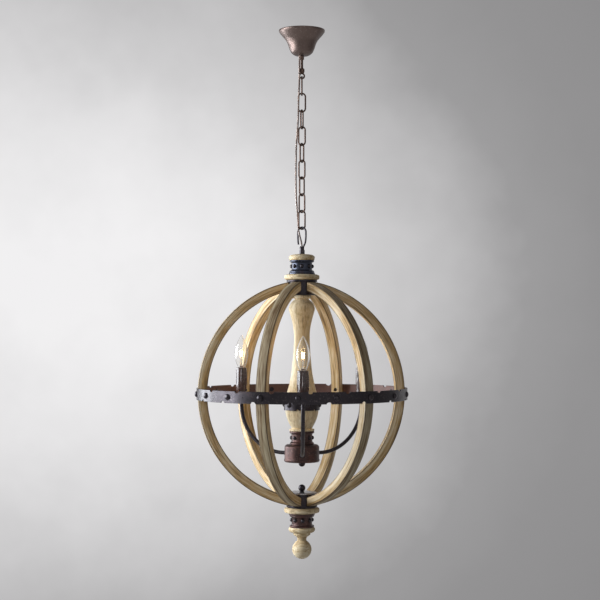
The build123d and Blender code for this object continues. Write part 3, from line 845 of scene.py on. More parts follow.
class Finishes:
    """Every finish of the chandelier, made once."""

    def __init__(self) -> None:
        """Makes every finish."""
        self.rib_oak = Timber("rib_oak", tone(234, 219, 188), tone(188, 153, 100),
                              tone(92, 68, 42), GrainRun.ALONG_RIB,
                              grey=tone(172, 158, 130), streaks=0.78).make()
        self.column_oak = Timber("column_oak", tone(242, 230, 202), tone(206, 180, 136),
                                 tone(134, 104, 66)).make()
        self.ring_oak = Timber("ring_oak", tone(240, 226, 196), tone(200, 172, 126),
                               tone(112, 82, 48), GrainRun.ACROSS, streaks=0.8).make()
        self.black_iron = Ironwork("black_iron", tone(48, 44, 48), tone(96, 88, 88),
                                   tone(66, 46, 42), rust_share=0.12, metal=0.8,
                                   smooth_rough=0.26, dull_rough=0.42).make()
        self.blue_iron = Ironwork("blue_iron", tone(54, 57, 68), tone(98, 102, 114),
                                  tone(84, 62, 56), rust_share=0.2, metal=0.85,
                                  smooth_rough=0.26, dull_rough=0.42).make()
        self.rust_iron = Ironwork("rust_iron", tone(64, 47, 45), tone(132, 110, 104),
                                  tone(90, 60, 54), rust_share=0.5, metal=0.7,
                                  smooth_rough=0.32).make()
        self.band_back = Ironwork("band_back", tone(92, 66, 60), tone(122, 96, 90),
                                  tone(104, 74, 66), rust_share=0.5, metal=0.3,
                                  smooth_rough=0.42, dull_rough=0.6).make()
        self.plate_steel = Ironwork("plate_steel", tone(150, 146, 146), tone(190, 188, 188),
                                    tone(110, 92, 84), rust_share=0.1, metal=0.9,
                                    smooth_rough=0.2, dull_rough=0.32, hammer=0.1).make()
        self.bronze = Ironwork("canopy_bronze", tone(98, 84, 79), tone(128, 114, 108),
                               tone(82, 68, 62), metal=0.92, smooth_rough=0.36,
                               dull_rough=0.46, hammer=0.12).make()
        self.chain_steel = Ironwork("chain_bronze", tone(84, 66, 58), tone(124, 102, 88),
                                    tone(74, 54, 46), rust_share=0.4, metal=0.8,
                                    hammer=0.2).make()
        self.sleeve = Lacquer("sleeve_brown", tone(54, 36, 33), tone(86, 62, 55),
                              roughness=0.2, coat=0.5, mottle=120.0, depth=0.5).make()
        self.socket = Lacquer("socket_black", tone(40, 36, 34), tone(56, 50, 46),
                              roughness=0.5).make()
        self.brass = Lacquer("lamp_brass", tone(196, 164, 104), tone(176, 144, 88),
                             roughness=0.3, metal=0.9, mottle=150.0).make()
        self.glass = ClearGlass("lamp_glass", (0.99, 0.985, 0.97, 1.0)).make()
        self.filament = GlowingWire("lamp_filament", (1.0, 0.7, 0.36, 1.0),
                                    strength=16.0).make()
        self.cord = ClearCordage("clear_cord", tone(186, 160, 146), tone(96, 70, 58)).make()


# ---------------------------------------------------------------- shared levels


@dataclass(frozen=True)
class Levels:
    """Heights of the chandelier's joints, down from the ceiling."""

    eye_centre: float = -117.0
    first_link_top: float = -118.95
    loop_crown: float = -503.1
    loop_seat: float = -561.1
    cap_top: float = -571.3
    collar_top: float = -587.3
    ring_top: float = -623.3
    plate_top: float = -637.0
    drum_top: float = -642.0
    column_top: float = -676.0
    equator: float = -925.0
    column_foot: float = -1019.9
    hub_top: float = -1054.1
    hub_foot: float = -1098.1
    arm_level: float = -1077.1
    sleeve_top: float = -862.0
    sleeve_foot: float = -933.0

    def mirrored(self, level: float) -> float:
        """The same level on the other side of the equator."""
        return 2 * self.equator - level


LEVELS = Levels()


class OrbEnd(Enum):
    """End of the orb that a piece of the stack belongs to, with its way away from the orb."""

    UPPER = 1
    LOWER = -1

    def level(self, upper: float) -> float:
        """A level of the upper end, or the same one of the lower end."""
        return upper if self is OrbEnd.UPPER else LEVELS.mirrored(upper)


def settle(piece: Piece, body: str, slot: str, *nodes: str) -> Piece:
    """Ties a piece to its body, hides the nodes that it stands for, and reports it.

    Args:
        piece: The piece, in place.
        body: The body it moves with.
        slot: Not used.
        *nodes: The plain nodes that it replaces.

    Returns:
        The piece.
    """
    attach(piece, body)
    if nodes:
        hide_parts(*nodes)
    LOG.info("%s rides on %s with %d faces", piece.name, body, len(piece.data.polygons))
    return piece


def on_fixture(piece: Piece, slot: str, *nodes: str) -> None:
    """Settles a piece of the body that hangs from the chain."""
    settle(piece, "fixture", slot, *nodes)


def stud_recipe(finish: Finish, name: str) -> Recipe:
    """Ring of domed heads on a wall, with named sizes in metres.

    Args:
        finish: The heads' material.
        name: Name of the tree.

    Returns:
        The tree.
    """
    recipe = Recipe(name)
    height = recipe.size("Head Height", 4.6 * MM)
    radius = recipe.size("Head Radius", 5.2 * MM)
    count = recipe.size("Count", 8)
    reach = recipe.size("Wall Radius", 26.0 * MM)
    level = recipe.size("Level", 0.0)
    first = recipe.size("First Azimuth", 0.0)
    ball = recipe.add("GeometryNodeMeshUVSphere", {"Segments": 20, "Rings": 12, "Radius": 1.0})
    head = recipe.moved(ball.outputs[0], Scale=recipe.vector(height, radius, radius))
    recipe.close(recipe.spread(head, count, reach, level, first), finish)
    return recipe


@dataclass
class SubAssembly:
    """Part of the chandelier, with the finishes it is dressed in."""

    finishes: Finishes


# ---------------------------------------------------------------- ceiling group


@dataclass
class CeilingGroup(SubAssembly):
    """Bell canopy, its nipple and the eye that the chain hangs from."""

    canopy_radius: float = 58.5
    canopy_height: float = 66.0
    canopy_wall: float = 1.4
    canopy_foot: float = 13.0
    nipple_radius: float = 3.5
    nipple_top: float = -1.0
    nipple_pitch: float = 1.3
    nipple_thread: float = 0.35
    nipple_foot: float = -104.0
    collar_radius: float = 6.8
    collar_top: float = -98.0
    collar_foot: float = -110.5
    ring_radius: float = 6.5
    ring_wire: float = 2.15
    ring_yaw: float = 20.0

    def bell(self, inset: float) -> list[Point]:
        """Outline of the bell, drawn in by the inset, from its rim down to its foot.

        Args:
            inset: How far it is drawn in.

        Returns:
            (radius, level) points.
        """
        radius, height = self.canopy_radius - inset, self.canopy_height - inset
        side = flowing([
            (radius, -4.2), (radius - 2.6, -8.0), (radius - 8.6, -15.5),
            (radius - 17.0, -25.2), (radius - 22.6, -36.0), (radius - 26.6, -48.0),
            (radius - 31.0, -57.2), (radius - 37.0, -62.8 + inset)], 5)
        return side + [(self.canopy_foot + 3, -height + 0.5), (self.canopy_foot - 2, -height)]

    def canopy(self) -> Piece:
        """Pressed bell with a rolled rim.

        Returns:
            The piece.
        """
        rim = rounded([
            (self.canopy_radius - self.canopy_wall, 0, 0), (self.canopy_radius, 0, 0.5),
            (self.canopy_radius, -3.0, 0.4), (self.canopy_radius - 0.2, -4.0, 0)], 3)
        outside = rim + self.bell(0.0)[1:] + [(self.nipple_radius + 0.3, -self.canopy_height)]
        inside = [(self.nipple_radius + 0.3, -self.canopy_height + self.canopy_wall)]
        inside += self.bell(self.canopy_wall)[::-1]
        return spun("bell_canopy", outside + inside, self.finishes.bronze, 128, closed=True)

    def nipple(self) -> Piece:
        """Threaded tube.

        Returns:
            The piece.
        """
        level = self.nipple_top
        line: list[Point] = [(0, level)]
        while level > self.nipple_foot:
            line += [(self.nipple_radius - self.nipple_thread, level),
                     (self.nipple_radius, level - 0.5 * self.nipple_pitch)]
            level -= self.nipple_pitch
        return spun("threaded_nipple", line + [(0, level)], self.finishes.chain_steel, 32)

    def eye(self) -> Piece:
        """Collar and ring in one.

        Returns:
            The piece.
        """
        collar = rounded([
            (0, self.collar_top, 0), (self.collar_radius - 1.0, self.collar_top, 1.0),
            (self.collar_radius, self.collar_top - 2.0, 0.8),
            (self.collar_radius, self.collar_foot + 3.4, 1.2),
            (0.6 * self.collar_radius, self.collar_foot - 1.0, 1.2),
            (0, self.collar_foot - 1.2, 0)], 5)
        turn = math.radians(self.ring_yaw)
        across = Vector((math.cos(turn), math.sin(turn), 0))
        chords = 48
        steps = [2 * math.pi * k / chords for k in range(chords + 1)]
        line = [(across * math.cos(t) + Vector((0, 0, math.sin(t)))) * self.ring_radius * MM
                + Vector((0, 0, LEVELS.eye_centre * MM)) for t in steps]
        steel = self.finishes.chain_steel
        return joined("hanging_eye_round", spun("eye_collar", collar, steel, 48),
                      tube("eye_ring", line, self.ring_wire, steel, 20))

    def build(self) -> None:
        """Builds and dresses the ceiling group."""
        settle(self.canopy(), "ceiling", "bronze", "canopy")
        settle(self.nipple(), "ceiling", "chain_steel", "ceiling_nipple")
        settle(self.eye(), "ceiling", "chain_steel", "hanging_eye")


# ---------------------------------------------------------------- chain and cord


@dataclass
class Chain(SubAssembly):
    """Nine oval wire links, each on a body of its own."""

    length: float = 51.4
    width: float = 22.0
    wire: float = 2.1
    pitch: float = 42.7
    roundness: float = 0.4995
    yaws: tuple[float, ...] = (90.0, 0.0, 72.0, -22.0, 60.0, -33.0, 50.0, -38.0, 28.0)

    def recipe(self) -> Recipe:
        """Tree of one link: an oval line with a round wire on it.

        Returns:
            The tree.
        """
        recipe = Recipe("chain_link")
        length = recipe.size("Centre Length", (self.length - 2 * self.wire) * MM)
        width = recipe.size("Centre Width", (self.width - 2 * self.wire) * MM)
        wire = recipe.size("Wire Radius", self.wire * MM)
        level = recipe.size("Middle Level", 0.0)
        turn = recipe.size("Turn", 0.0)
        oval = recipe.add("GeometryNodeCurvePrimitiveQuadrilateral", {
            "Width": width, "Height": length})
        bent = recipe.add("GeometryNodeFilletCurve", {
            "Curve": oval.outputs[0], "Count": 14,
            "Radius": recipe.math("MULTIPLY", width, self.roundness)}, mode="POLY")
        body = recipe.bar(bent.outputs[0], wire, 18, capped=False)
        upright = recipe.moved(body, Rotation=(math.pi / 2, 0, 0))
        hung = recipe.moved(upright, Rotation=recipe.vector(0.0, 0.0, turn),
                            Translation=recipe.vector(0.0, 0.0, level))
        recipe.close(hung, self.finishes.chain_steel)
        return recipe

    def middle(self, index: int) -> float:
        """Level of the middle of a link."""
        return LEVELS.first_link_top - index * self.pitch - (self.length / 2 - self.wire)

    def build(self) -> None:
        """Builds and dresses the links."""
        recipe = self.recipe()
        for k, yaw in enumerate(self.yaws):
            piece = recipe.grow(f"round_link_{k + 1}", {
                "Middle Level": self.middle(k) * MM, "Turn": math.radians(yaw)})
            settle(piece, f"link_{k + 1}", "chain_steel", f"chain_link_{k + 1}")


@dataclass
class SupplyCord(SubAssembly):
    """Clear cord from inside the canopy, beside the chain, into the loop's boss.
    """

    radius: float = 2.2
    first_bend: float = -98.0
    last_bend: float = -530.0
    route: tuple[Place, ...] = (
        (-6.0, -6.6, -46.0), (-6.1, -6.9, -74.0), (-6.4, -7.6, -104.0), (-6.6, -7.6, -134.0),
        (-8.0, -6.0, -166.0), (-8.9, -5.6, -196.0), (-9.4, -5.4, -226.0),
        (-11.6, -5.0, -260.0), (-14.6, -4.0, -296.0), (-15.1, -2.0, -336.0),
        (-15.4, -1.4, -380.0), (-14.8, 0.4, -424.0), (-12.4, 1.2, -456.0),
        (-10.2, 1.5, -484.0), (-9.6, 0.6, -508.0), (-4.4, -1.0, -530.0),
        (0.0, 0.0, -546.0), (0.0, 0.0, -558.0))

    def line(self) -> list[Vector]:
        """Points of the smooth line through the route, top first, in metres.

        Returns:
            The points.
        """
        data = bpy.data.curves.new("cord_line", "CURVE")
        data.dimensions = "3D"
        data.resolution_u = 10
        spline = data.splines.new("NURBS")
        spline.points.add(len(self.route) - 1)
        for spot, (x, y, z) in zip(spline.points, self.route):
            spot.co = (x * MM, y * MM, z * MM, 1.0)
        spline.order_u = 3
        spline.use_endpoint_u = True
        carrier = placed("cord_line", data)
        graph = bpy.context.evaluated_depsgraph_get()
        mesh = bpy.data.meshes.new_from_object(carrier.evaluated_get(graph))
        points = [v.co.copy() for v in mesh.vertices]
        bpy.data.objects.remove(carrier)
        bpy.data.meshes.remove(mesh)
        return points if points[0].z > points[-1].z else points[::-1]

    def build(self, chain: Chain) -> None:
        """Builds the cord in ten stretches, cut at the middles of the chain's links.

        Args:
            chain: The chain that it hangs beside.
        """
        line = self.line()
        links = len(chain.yaws)
        levels = [line[0].z, *[chain.middle(k) * MM for k in range(links)], line[-1].z]
        for k, (high, low) in enumerate(zip(levels, levels[1:])):
            stretch = cut_line(line, high, low)
            piece = tube(f"cord_stretch_{k + 1}", stretch, self.radius, self.finishes.cord, 16)
            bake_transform(piece)
            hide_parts("supply_cord")


def cut_line(line: list[Vector], high: float, low: float) -> list[Vector]:
    """Part of a falling line between two levels.

    Args:
        line: Its points, in metres, top first.
        high: The upper level, in metres.
        low: The lower level, in metres.

    Returns:
        The part's points, one at each of the two levels.
    """
    part: list[Vector] = []
    for one, two in zip(line, line[1:]):
        fall = max(one.z - two.z, 1e-9)
        if not part and one.z >= high >= two.z:
            part.append(one.lerp(two, (one.z - high) / fall))
        if part:
            if two.z <= low:
                part.append(one.lerp(two, (one.z - low) / fall))
                return part
            part.append(two.copy())
    return part


# ---------------------------------------------------------------- stack over the orb


@dataclass
class TopStack(SubAssembly):
    """Open loop, turned cap, studded collar, turned ring and the hub that holds the ribs."""

    wire: float = 2.25
    bend: float = 12.9
    loop_yaw: float = -38.0
    boss_radius: float = 5.9
    boss_height: float = 10.0
    boss_bore: float = 2.7
    cap_radius: float = 33.0
    waist: float = 26.0
    ring_radius: float = 45.0
    plate_radius: float = 39.0
    drum_radius: float = 35.8
    drum_foot: float = -672.0
    inner_plate: float = 37.5
    inner_plate_top: float = -672.1
    inner_plate_foot: float = -675.9
    upper_rise: float = 20.8
    lower_rise: float = 18.0
    upper_azimuth: float = 0.0
    lower_azimuth: float = 5.0

    def loop(self) -> Piece:
        """Bent wire: up from the boss, over the crown and down to a free tip.

        Returns:
            The piece.
        """
        seat, crown = LEVELS.loop_seat, LEVELS.loop_crown - self.bend
        right = [(3.7, seat + 6.0), (6.8, seat + 11.5), (11.0, seat + 19.5), (12.7, seat + 31.0)]
        top = [(self.bend * math.cos(t), crown + self.bend * math.sin(t))
               for t in (math.radians(180 * k / 12) for k in range(13))]
        left = [(-12.9, crown - 9.0), (-12.5, seat + 24.0), (-11.1, seat + 14.5)]
        turn = math.radians(self.loop_yaw)
        across = Vector((math.cos(turn), math.sin(turn), 0))
        line = [(across * x + Vector((0, 0, z))) * MM for x, z in flowing(right + top + left, 5)]
        return tube("loop_wire", line, self.wire, self.finishes.black_iron, 22)

    def boss(self) -> Piece:
        """Collar at the loop's foot, bored for the cord.

        Returns:
            The piece.
        """
        seat, top = LEVELS.loop_seat, LEVELS.loop_seat + self.boss_height
        return spun("loop_boss", rounded([
            (0, seat, 0), (self.boss_radius, seat, 0.6), (self.boss_radius, seat + 6.4, 1.5),
            (self.boss_radius - 2.2, top, 1.2), (self.boss_bore, top, 0.3),
            (self.boss_bore, seat + 5.0, 0.0), (0, seat + 5.0, 0)]), self.finishes.black_iron, 48)

    def cap(self) -> Piece:
        """Turned cap with a full round edge and a bead line.

        Returns:
            The piece.
        """
        foot, top, r = LEVELS.collar_top, LEVELS.cap_top, self.cap_radius
        return spun("turned_cap", rounded([
            (0, foot, 0), (r - 2.4, foot, 1.2), (r - 0.4, foot + 2.8, 2.2),
            (r - 1.4, foot + 4.1, 0.7), (r, foot + 5.4, 1.6), (r, foot + 9.2, 3.6),
            (r - 4.2, top - 2.6, 3.0), (0.6 * r, top - 0.7, 5.0), (0, top, 0)]),
            self.finishes.ring_oak)

    def collar(self, end: OrbEnd, finish: Finish, name: str) -> Piece:
        """Cast spool collar, its wide flange on the side of the orb.

        Args:
            end: The end it is for.
            finish: Its material.
            name: Name of the piece.

        Returns:
            The piece.
        """
        base = end.level(LEVELS.ring_top)
        corners = [
            (0, 0, 0), (32.6, 0, 0.8), (33.2, 1.6, 0.8), (33.2, 4.4, 1.0), (31.2, 5.2, 0.7),
            (31.6, 6.8, 0.8), (30.6, 9.3, 1.2), (27.4, 10.4, 1.5), (self.waist, 12.6, 1.6),
            (self.waist, 29.0, 1.6), (27.6, 31.0, 1.0), (30.6, 31.8, 0.9), (31.0, 33.2, 0.9),
            (31.0, 35.4, 0.6), (30.4, 36.0, 0.3), (0, 36.0, 0)]
        return spun(name, [(r, base + end.value * z) for r, z in rounded(corners)], finish)

    def ring(self, top: float, finish: Finish, name: str) -> Piece:
        """Flat turned ring with a full round edge.

        Args:
            top: Level of its upper face.
            finish: Its material.
            name: Name of the piece.

        Returns:
            The piece.
        """
        r = self.ring_radius
        return spun(name, rounded([
            (0, top, 0), (r - 6.0, top, 1.0), (r - 5.0, top - 1.2, 0.8), (r - 1.0, top - 1.8, 3.2),
            (r, top - 6.9, 4.8), (r - 1.0, top - 12.0, 3.2), (r - 5.5, top - 13.4, 1.0),
            (r - 7.0, top - 13.7, 1.0), (0, top - 13.7, 0)]), finish)

    def hub(self, end: OrbEnd, finish: Finish, name: str) -> Piece:
        """Plate and drum that hold the ribs' ends.

        Args:
            end: The end it is for.
            finish: Its material.
            name: Name of the piece.

        Returns:
            The piece.
        """
        corners = [
            (0, LEVELS.plate_top, 0), (self.plate_radius - 0.4, LEVELS.plate_top, 1.2),
            (self.plate_radius, LEVELS.plate_top - 2.0, 1.2),
            (self.plate_radius, LEVELS.drum_top, 0.8), (self.drum_radius, LEVELS.drum_top, 1.0),
            (self.drum_radius, self.drum_foot, 0.3), (0, self.drum_foot, 0)]
        return spun(name, [(r, end.level(z)) for r, z in rounded(corners)], finish)

    def hub_plate(self, end: OrbEnd, finish: Finish, name: str) -> Piece:
        """Round plate that closes the drum.

        Args:
            end: The end it is for.
            finish: Its material.
            name: Name of the piece.

        Returns:
            The piece.
        """
        r, top, foot = self.inner_plate, self.inner_plate_top, self.inner_plate_foot
        corners = [(0, top, 0), (r, top, 0.6), (r, top - 2.5, 1.2), (r - 1.5, foot, 1.0),
                   (0, foot, 0)]
        return spun(name, [(r, end.level(z)) for r, z in rounded(corners)], finish)

    def studs(self, end: OrbEnd, finish: Finish, name: str) -> Piece:
        """Domed studs round a collar's waist.

        Args:
            end: The end its collar is for.
            finish: Its material.
            name: Name of the piece.

        Returns:
            The piece.
        """
        upper = end is OrbEnd.UPPER
        rise = self.upper_rise if upper else self.lower_rise
        azimuth = self.upper_azimuth if upper else self.lower_azimuth
        return stud_recipe(finish, name).grow(name, {
            "Wall Radius": self.waist * MM,
            "Level": (end.level(LEVELS.ring_top) + end.value * rise) * MM,
            "First Azimuth": math.radians(azimuth - 90)})

    def build(self) -> None:
        """Builds and dresses the stack."""
        end, iron, oak = OrbEnd.UPPER, self.finishes.black_iron, self.finishes.ring_oak
        on_fixture(joined("open_loop", self.loop(), self.boss()), "cast_iron", "fixture_loop")
        on_fixture(self.cap(), "oak", "top_cap")
        collar = self.collar(end, self.finishes.blue_iron, "upper_collar")
        on_fixture(collar, "cast_iron", "top_collar")
        on_fixture(self.studs(end, iron, "upper_collar_studs"), "cast_iron", "top_collar")
        on_fixture(self.ring(LEVELS.ring_top, oak, "upper_ring"), "oak", "top_ring")
        on_fixture(self.hub(end, iron, "upper_drum"), "cast_iron", "top_hub")
        plate = self.hub_plate(end, iron, "upper_inner_plate")
        on_fixture(plate, "cast_iron", "top_hub_plate")


# ---------------------------------------------------------------- orb


def notch_reaches(beyond: float) -> list[float]:
    """Places across a round notch of half width 1, with one just beyond each of its ends.

    Args:
        beyond: Where the outer two lie.

    Returns:
        The places, close together towards the notch's ends.
    """
    chords = 12
    inside = [math.sin(math.pi * (k / chords - 0.5)) for k in range(chords + 1)]
    return [*inside, -beyond, beyond]


@dataclass
class Orb(SubAssembly):
    """Six bent ribs, the notched equator band, and its bolts and rivets."""

    arc_radius: float = 288.5
    orb_radius: float = 264.0
    depth: float = 23.0
    width: float = 25.0
    chamfer: float = 2.4
    rib_count: int = 6
    first_azimuth: float = -82.0
    rib_end: float = 36.5
    rib_spare: float = 2.0
    rib_stations: int = 97
    recess: float = 4.8
    recess_depth: float = 6.0
    band_height: float = 29.0
    band_inner: float = 264.1
    band_outer: float = 267.1
    band_ease: float = 0.5
    band_inner_side: int = 4
    bolt_step: float = 20.0
    notch: float = 6.4
    notch_depth: float = 4.6
    top_shift: float = 6.2
    foot_shift: float = -4.0
    head_radius: float = 7.6
    head_height: float = 5.2

    def rib_recipe(self) -> Recipe:
        """Tree of the ribs: a bent bar, holed for its bolt, at each azimuth.

        Returns:
            The tree.
        """
        recipe = Recipe("bent_ribs")
        radius = recipe.size("Arc Radius", (self.arc_radius - self.depth / 2) * MM)
        offset = recipe.size("Arc Offset", (self.arc_radius - self.orb_radius) * MM)
        depth = recipe.size("Depth", self.depth * MM)
        width = recipe.size("Width", self.width * MM)
        corner = recipe.size("Corner", self.chamfer * MM)
        end = recipe.size("End Radius", self.rib_end * MM)
        level = recipe.size("Equator", LEVELS.equator * MM)
        first = recipe.size("First Azimuth", math.radians(self.first_azimuth - 90))
        count = recipe.size("Count", self.rib_count)
        bar = self.bent_bar(recipe, radius, offset, depth, width, corner)
        drilled = self.drilled(recipe, bar)
        trimmed = self.trimmed(recipe, drilled, end)
        marked = self.marked(recipe, trimmed, radius, offset)
        ribs = recipe.spread(marked, count, ON_AXIS, level, first)
        number = recipe.add("GeometryNodeInputIndex").outputs[0]
        boards = recipe.add("GeometryNodeStoreNamedAttribute", {
            "Geometry": ribs, "Name": "board", "Value": number}, data_type="FLOAT",
            domain="INSTANCE")
        recipe.close(boards.outputs[0], self.finishes.rib_oak)
        return recipe

    def bent_bar(self, recipe: Recipe, radius: Any, offset: Any, depth: Any, width: Any,
                 corner: Any) -> Socket:
        """Bar along the arc in the plane y = 0, its long edges eased.

        Args:
            recipe: The ribs' tree.
            radius: Radius of the bar's middle.
            offset: How far the arc's centre lies beyond the axis.
            depth: The bar's depth, along the radius.
            width: Its width.
            corner: The easing of its edges.

        Returns:
            The bar's geometry, a little longer than the rib.
        """
        reach = math.acos((self.rib_end + self.arc_radius - self.orb_radius - self.rib_spare)
                          / (self.arc_radius - self.depth / 2))
        arc = recipe.add("GeometryNodeCurveArc", {
            "Resolution": self.rib_stations, "Radius": radius, "Start Angle": -reach,
            "Sweep Angle": 2 * reach}, mode="RADIUS")
        facing = recipe.add("GeometryNodeSetCurveNormal", {"Curve": arc.outputs[0]},
                            mode="Z_UP")
        section = recipe.add("GeometryNodeCurvePrimitiveQuadrilateral", {
            "Width": depth, "Height": width})
        cut = recipe.add("GeometryNodeFilletCurve", {
            "Curve": section.outputs[0], "Count": 3,
            "Radius": recipe.math("MULTIPLY", corner, 0.7)}, mode="POLY")
        bar = recipe.add("GeometryNodeCurveToMesh", {
            "Curve": facing.outputs[0], "Profile Curve": cut.outputs[0], "Fill Caps": True})
        upright = recipe.moved(bar.outputs[0], Rotation=(math.pi / 2, 0, 0))
        inwards = recipe.math("MULTIPLY", offset, -1.0)
        return recipe.moved(upright, Translation=recipe.vector(inwards, 0.0, 0.0))

    def drilled(self, recipe: Recipe, bar: Any) -> Socket:
        """The bar with the counterbore of its bolt in its inner face.

        Args:
            recipe: The ribs' tree.
            bar: The bar's geometry.

        Returns:
            The drilled bar's geometry.
        """
        floor = (self.orb_radius - self.depth + self.recess_depth) * MM
        drill = recipe.add("GeometryNodeMeshCylinder", {
            "Vertices": 24, "Radius": self.recess * MM, "Depth": 4 * self.recess_depth * MM})
        bore = recipe.moved(drill.outputs["Mesh"], Rotation=(0, math.pi / 2, 0),
                            Translation=(floor - 2 * self.recess_depth * MM, 0, 0))
        return recipe.add("GeometryNodeMeshBoolean", {
            "Mesh 1": bar, "Mesh 2": bore}, operation="DIFFERENCE").outputs[0]

    def trimmed(self, recipe: Recipe, bar: Any, end: Any) -> Socket:
        """The bar with its ends cut upright where they meet the drum.

        Args:
            recipe: The ribs' tree.
            bar: The bar's geometry.
            end: Radius at which it ends.

        Returns:
            The trimmed bar's geometry.
        """
        x, y, z = recipe.position()
        held = recipe.vector(recipe.math("MAXIMUM", x, end), y, z)
        return recipe.add("GeometryNodeSetPosition", {
            "Geometry": bar, "Position": held}).outputs[0]

    def marked(self, recipe: Recipe, bar: Any, radius: Any, offset: Any) -> Socket:
        """The bar with its fibre marked: along, across and deep, in metres.

        Args:
            recipe: The ribs' tree.
            bar: The bar's geometry.
            radius: Radius of the bar's middle.
            offset: How far the arc's centre lies beyond the axis.

        Returns:
            The marked bar's geometry.
        """
        x, y, z = recipe.position()
        out = recipe.math("ADD", x, offset)
        turn = recipe.math("ARCTAN2", z, out)
        span = recipe.math("SQRT", recipe.math(
            "ADD", recipe.math("MULTIPLY", out, out), recipe.math("MULTIPLY", z, z)))
        fibre = recipe.vector(recipe.math("MULTIPLY", turn, radius), y,
                              recipe.math("SUBTRACT", span, radius))
        return recipe.add("GeometryNodeStoreNamedAttribute", {
            "Geometry": bar, "Name": "fibre", "Value": fibre}, data_type="FLOAT_VECTOR",
            domain="POINT").outputs[0]

    def edge_drop(self, azimuth: float, shift: float) -> float:
        """How deep a notch cuts the band's edge at an azimuth."""
        nearest = (azimuth - self.first_azimuth - shift + self.bolt_step / 2) % self.bolt_step
        away = math.radians(nearest - self.bolt_step / 2) * self.band_outer
        return self.notch_depth * math.sqrt(max(1 - (away / self.notch) ** 2, 0.0))

    def band_stations(self) -> list[float]:
        """Azimuths of the band's sections, close together in the notches.

        Returns:
            The azimuths.
        """
        half = math.degrees(self.notch / self.band_outer)
        step = self.bolt_step
        local = {0.0, step / 2, step / 4, 3 * step / 4}
        for shift in (self.top_shift, self.foot_shift):
            local |= {(shift + half * reach) % step for reach in notch_reaches(1.02)}
        return [self.first_azimuth + k * step + away
                for k in range(round(360 / step)) for away in sorted(local)]

    def band(self) -> Piece:
        """Notched hoop with eased edges, its inner face in its own finish.

        Returns:
            The piece.
        """
        ease, half = self.band_ease, self.band_height / 2
        outer, inner = self.band_outer, self.band_inner
        stations = self.band_stations()
        sections = []
        for azimuth in stations:
            top = half - self.edge_drop(azimuth, self.top_shift)
            foot = -half + self.edge_drop(azimuth, self.foot_shift)
            sections.append([
                (outer, top - ease), (outer, foot + ease), (outer - ease, foot),
                (inner + ease, foot), (inner, foot + ease), (inner, top - ease),
                (inner + ease, top), (outer - ease, top)])
        piece = hoop("notched_band", stations, sections, LEVELS.equator,
                     self.finishes.black_iron)
        piece.data.materials.append(self.finishes.band_back)
        # The inner side runs from the section's fifth corner to its sixth.
        for face in piece.data.polygons:
            inside = face.index % len(sections[0]) == self.band_inner_side
            face.material_index = 1 if inside else 0
        return piece

    def heads(self) -> Piece:
        """Eighteen domed heads on the band."""
        return stud_recipe(self.finishes.black_iron, "band_heads").grow("band_heads", {
            "Head Height": self.head_height * MM, "Head Radius": self.head_radius * MM,
            "Count": round(360 / self.bolt_step), "Wall Radius": self.band_outer * MM,
            "Level": LEVELS.equator * MM,
            "First Azimuth": math.radians(self.first_azimuth - 90)})

    def build(self) -> None:
        """Builds and dresses the orb."""
        ribs = self.rib_recipe().grow("bent_ribs", {}, crease=RIB_CREASE)
        on_fixture(ribs, "oak", *[f"rib_{k + 1}" for k in range(self.rib_count)])
        on_fixture(self.band(), "cast_iron", "equator_band")
        on_fixture(self.heads(), "cast_iron", "band_rivets", "rib_bolts")


# ---------------------------------------------------------------- column and arm hub


